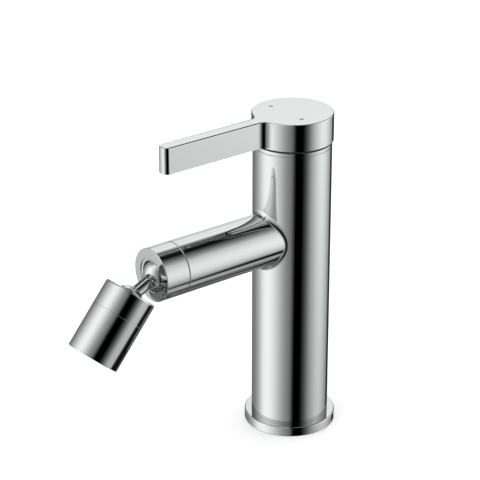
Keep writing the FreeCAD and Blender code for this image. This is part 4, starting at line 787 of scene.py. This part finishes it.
def make_studio():
    """Soft boxes, dark flags and the dim room round them, as one surround that only the tap shows.

    Directions are those of the toward function: the camera is at -40 degrees round, its right is at 52, its
    left at -128, and 140 is behind the tap.
    """
    room_light, backdrop_light = 0.06, 1.1
    world = bpy.data.worlds.new("studio")
    bpy.context.scene.world = world
    world.use_nodes = True
    tree = world.node_tree
    product, smooth = {"operation": "MULTIPLY"}, {"interpolation_type": "SMOOTHSTEP"}
    ray = add_node(tree, "ShaderNodeTexCoord").outputs["Generated"]
    flat = add_node(tree, "ShaderNodeVectorMath", product, _0=ray, _1=(1, 1, 0)).outputs[0]
    level = add_node(tree, "ShaderNodeVectorMath", {"operation": "NORMALIZE"}, _0=flat).outputs[0]
    sides = add_node(tree, "ShaderNodeSeparateXYZ", _0=ray)
    rise = add_node(tree, "ShaderNodeMath", {"operation": "ARCSINE"}, _0=sides.outputs["Z"])
    turn = add_node(tree, "ShaderNodeMath", {"operation": "ARCTAN2"}, _0=sides.outputs["Y"],
                    _1=sides.outputs["X"])
    degrees_up = add_node(tree, "ShaderNodeMath", {"operation": "DEGREES"}, _0=rise.outputs[0]).outputs[0]
    degrees_round = add_node(tree, "ShaderNodeMath", {"operation": "DEGREES"}, _0=turn.outputs[0]).outputs[0]

    def glow(source, spot, half_width, strength):
        """A soft box: full at its middle, half as bright at half_width degrees from it."""
        steepness = math.log(2) / (1 - math.cos(math.radians(half_width)))
        near = add_node(tree, "ShaderNodeVectorMath", {"operation": "DOT_PRODUCT"}, _0=source, _1=spot)
        fall = add_node(tree, "ShaderNodeMath", {"operation": "MULTIPLY_ADD"}, _0=near.outputs["Value"],
                        _1=steepness, _2=-steepness)
        light = add_node(tree, "ShaderNodeMath", {"operation": "EXPONENT"}, _0=fall.outputs[0])
        return add_node(tree, "ShaderNodeMath", product, _0=light.outputs[0], _1=strength).outputs[0]

    def between(source, low_dark, low_full, high_full, high_dark):
        """1 between the two full marks, and 0 outside the dark ones."""
        up = add_node(tree, "ShaderNodeMapRange", smooth, Value=source, From_Min=low_dark, From_Max=low_full)
        down = add_node(tree, "ShaderNodeMapRange", smooth, Value=source, From_Min=high_full,
                        From_Max=high_dark, To_Min=1.0, To_Max=0.0)
        return add_node(tree, "ShaderNodeMath", product, _0=up.outputs[0], _1=down.outputs[0]).outputs[0]

    def panel(round_marks, up_marks, strength):
        """An upright panel with soft edges, between marks in degrees round and up."""
        across, tall = between(degrees_round, *round_marks), between(degrees_up, *up_marks)
        shape = add_node(tree, "ShaderNodeMath", product, _0=across, _1=tall)
        return add_node(tree, "ShaderNodeMath", product, _0=shape.outputs[0], _1=strength).outputs[0]

    def shaded(light, flag):
        """The light that a flag lets through; the flag is 1 where it is black."""
        clear = add_node(tree, "ShaderNodeMath", {"operation": "SUBTRACT"}, _0=1.0, _1=flag)
        return add_node(tree, "ShaderNodeMath", product, _0=light, _1=clear.outputs[0]).outputs[0]

    # Soft boxes at the left, at the right and behind, with weaker ones overhead, below and between them
    boxes = [
        glow(level, toward(-113, 0), 40.5, 1.38),
        glow(ray, toward(-125, 25), 26, 0.14),
        glow(ray, toward(56, 1.5), 32, 1.68),
        panel((116, 130, 143, 159), (-58, -14, 44, 54), 1.19),
        glow(ray, toward(128, 48), 10, 0.3),
        glow(ray, toward(123, 48.5), 5, 0.27),
        glow(ray, toward(66, -55), 7, 0.22),
        glow(ray, toward(0, 90), 22, 0.7),
        glow(ray, toward(60, -78), 24, 0.5),
    ]
    light = room_light
    for box in boxes:
        light = add_node(tree, "ShaderNodeMath", {"operation": "ADD"}, _0=light, _1=box).outputs[0]

    # Flags: the first, from floor to ceiling beside the camera, is the dark stripe down the column and the
    # cap, and the second is the dark line by their right edge. The others dim parts of the room behind,
    # the floor and the ceiling.
    whole_height = (-91, -90, 90, 91)
    flags = [
        panel((-44, -27.5, -13, 22), whole_height, 1.0),
        panel((97, 104, 120, 128), (-36, -32, 12, 36), 0.85),
        panel((38, 48, 84, 108), (-47.5, -43, -36.5, -31.5), 0.97),
        panel((110, 126, 150, 160), (-38, -30, 12, 23), 0.3),
        panel((60, 76, 104, 175), (-72, -62, -42, -27), 0.72),
        panel((-20, 10, 110, 118), (-91, -90, -31, -19), 0.14),
        panel((-180, -170, -60, -40), (-91, -90, -44, -29), 0.7),
        panel((-180, -172, -150, -125), (-91, -90, -34, -10), 0.3),
        glow(ray, toward(-175, 62), 24, 0.9),
    ]
    for flag in flags:
        light = shaded(light, flag)

    # Round flag high at the right, black at its middle and fading evenly outwards
    middle, black_within, clear_from = toward(78, 55), math.radians(4), math.radians(34)
    near = add_node(tree, "ShaderNodeVectorMath", {"operation": "DOT_PRODUCT"}, _0=ray, _1=middle)
    away = add_node(tree, "ShaderNodeMath", {"operation": "ARCCOSINE"}, _0=near.outputs["Value"])
    round_flag = add_node(tree, "ShaderNodeMapRange", Value=away.outputs[0], From_Min=black_within,
                          From_Max=clear_from, To_Min=0.98, To_Max=0.0)
    light = shaded(light, round_flag.outputs["Result"])

    # The camera sees a plain backdrop in place of the studio
    seen = add_node(tree, "ShaderNodeLightPath").outputs["Is Camera Ray"]
    strength = add_node(tree, "ShaderNodeMix", {"data_type": "FLOAT"}, _0=seen, _2=light, _3=backdrop_light)
    background = tree.nodes["Background"]
    tree.links.new(strength.outputs[0], background.inputs["Strength"])
    background.inputs["Color"].default_value = (1.0, 1.0, 1.0, 1.0)


def make_floor():
    """Wide pale floor that the chrome doesn't show."""
    deselect_all()
    bpy.ops.mesh.primitive_plane_add(size=FLOOR_WIDTH)
    floor = bpy.context.object
    floor.name = "studio_floor"
    floor.data.materials.append(floor_paint())
    floor.visible_glossy = False


def make_lamp():
    """One broad, soft light from overhead that lights the floor evenly; the chrome doesn't show it."""
    spread, strength = 70, 3.0
    bpy.ops.object.light_add(type="SUN")
    lamp = bpy.context.object
    lamp.data.angle = math.radians(spread)
    lamp.data.energy = strength
    lamp.visible_glossy = False


make_column()
make_base_ring()
make_bright_band()
make_spout()
make_spout_collar()
make_neck()
make_second_ball()
make_head_top()
make_head_barrel()
make_lever()
make_marks()
make_plug()

# Every CAD node gets its slot's finish too
for entry in frame["record"]["subparts"]:
    node = frame["nodes"][entry["node"]]
    node.data.materials.clear()
    node.data.materials.append(FINISHES[entry["material_slot"]])

make_floor()
make_lamp()
make_studio()
make_camera()

# Colours are shown as they are, with no film curve over them
bpy.context.scene.view_settings.view_transform = "Standard"
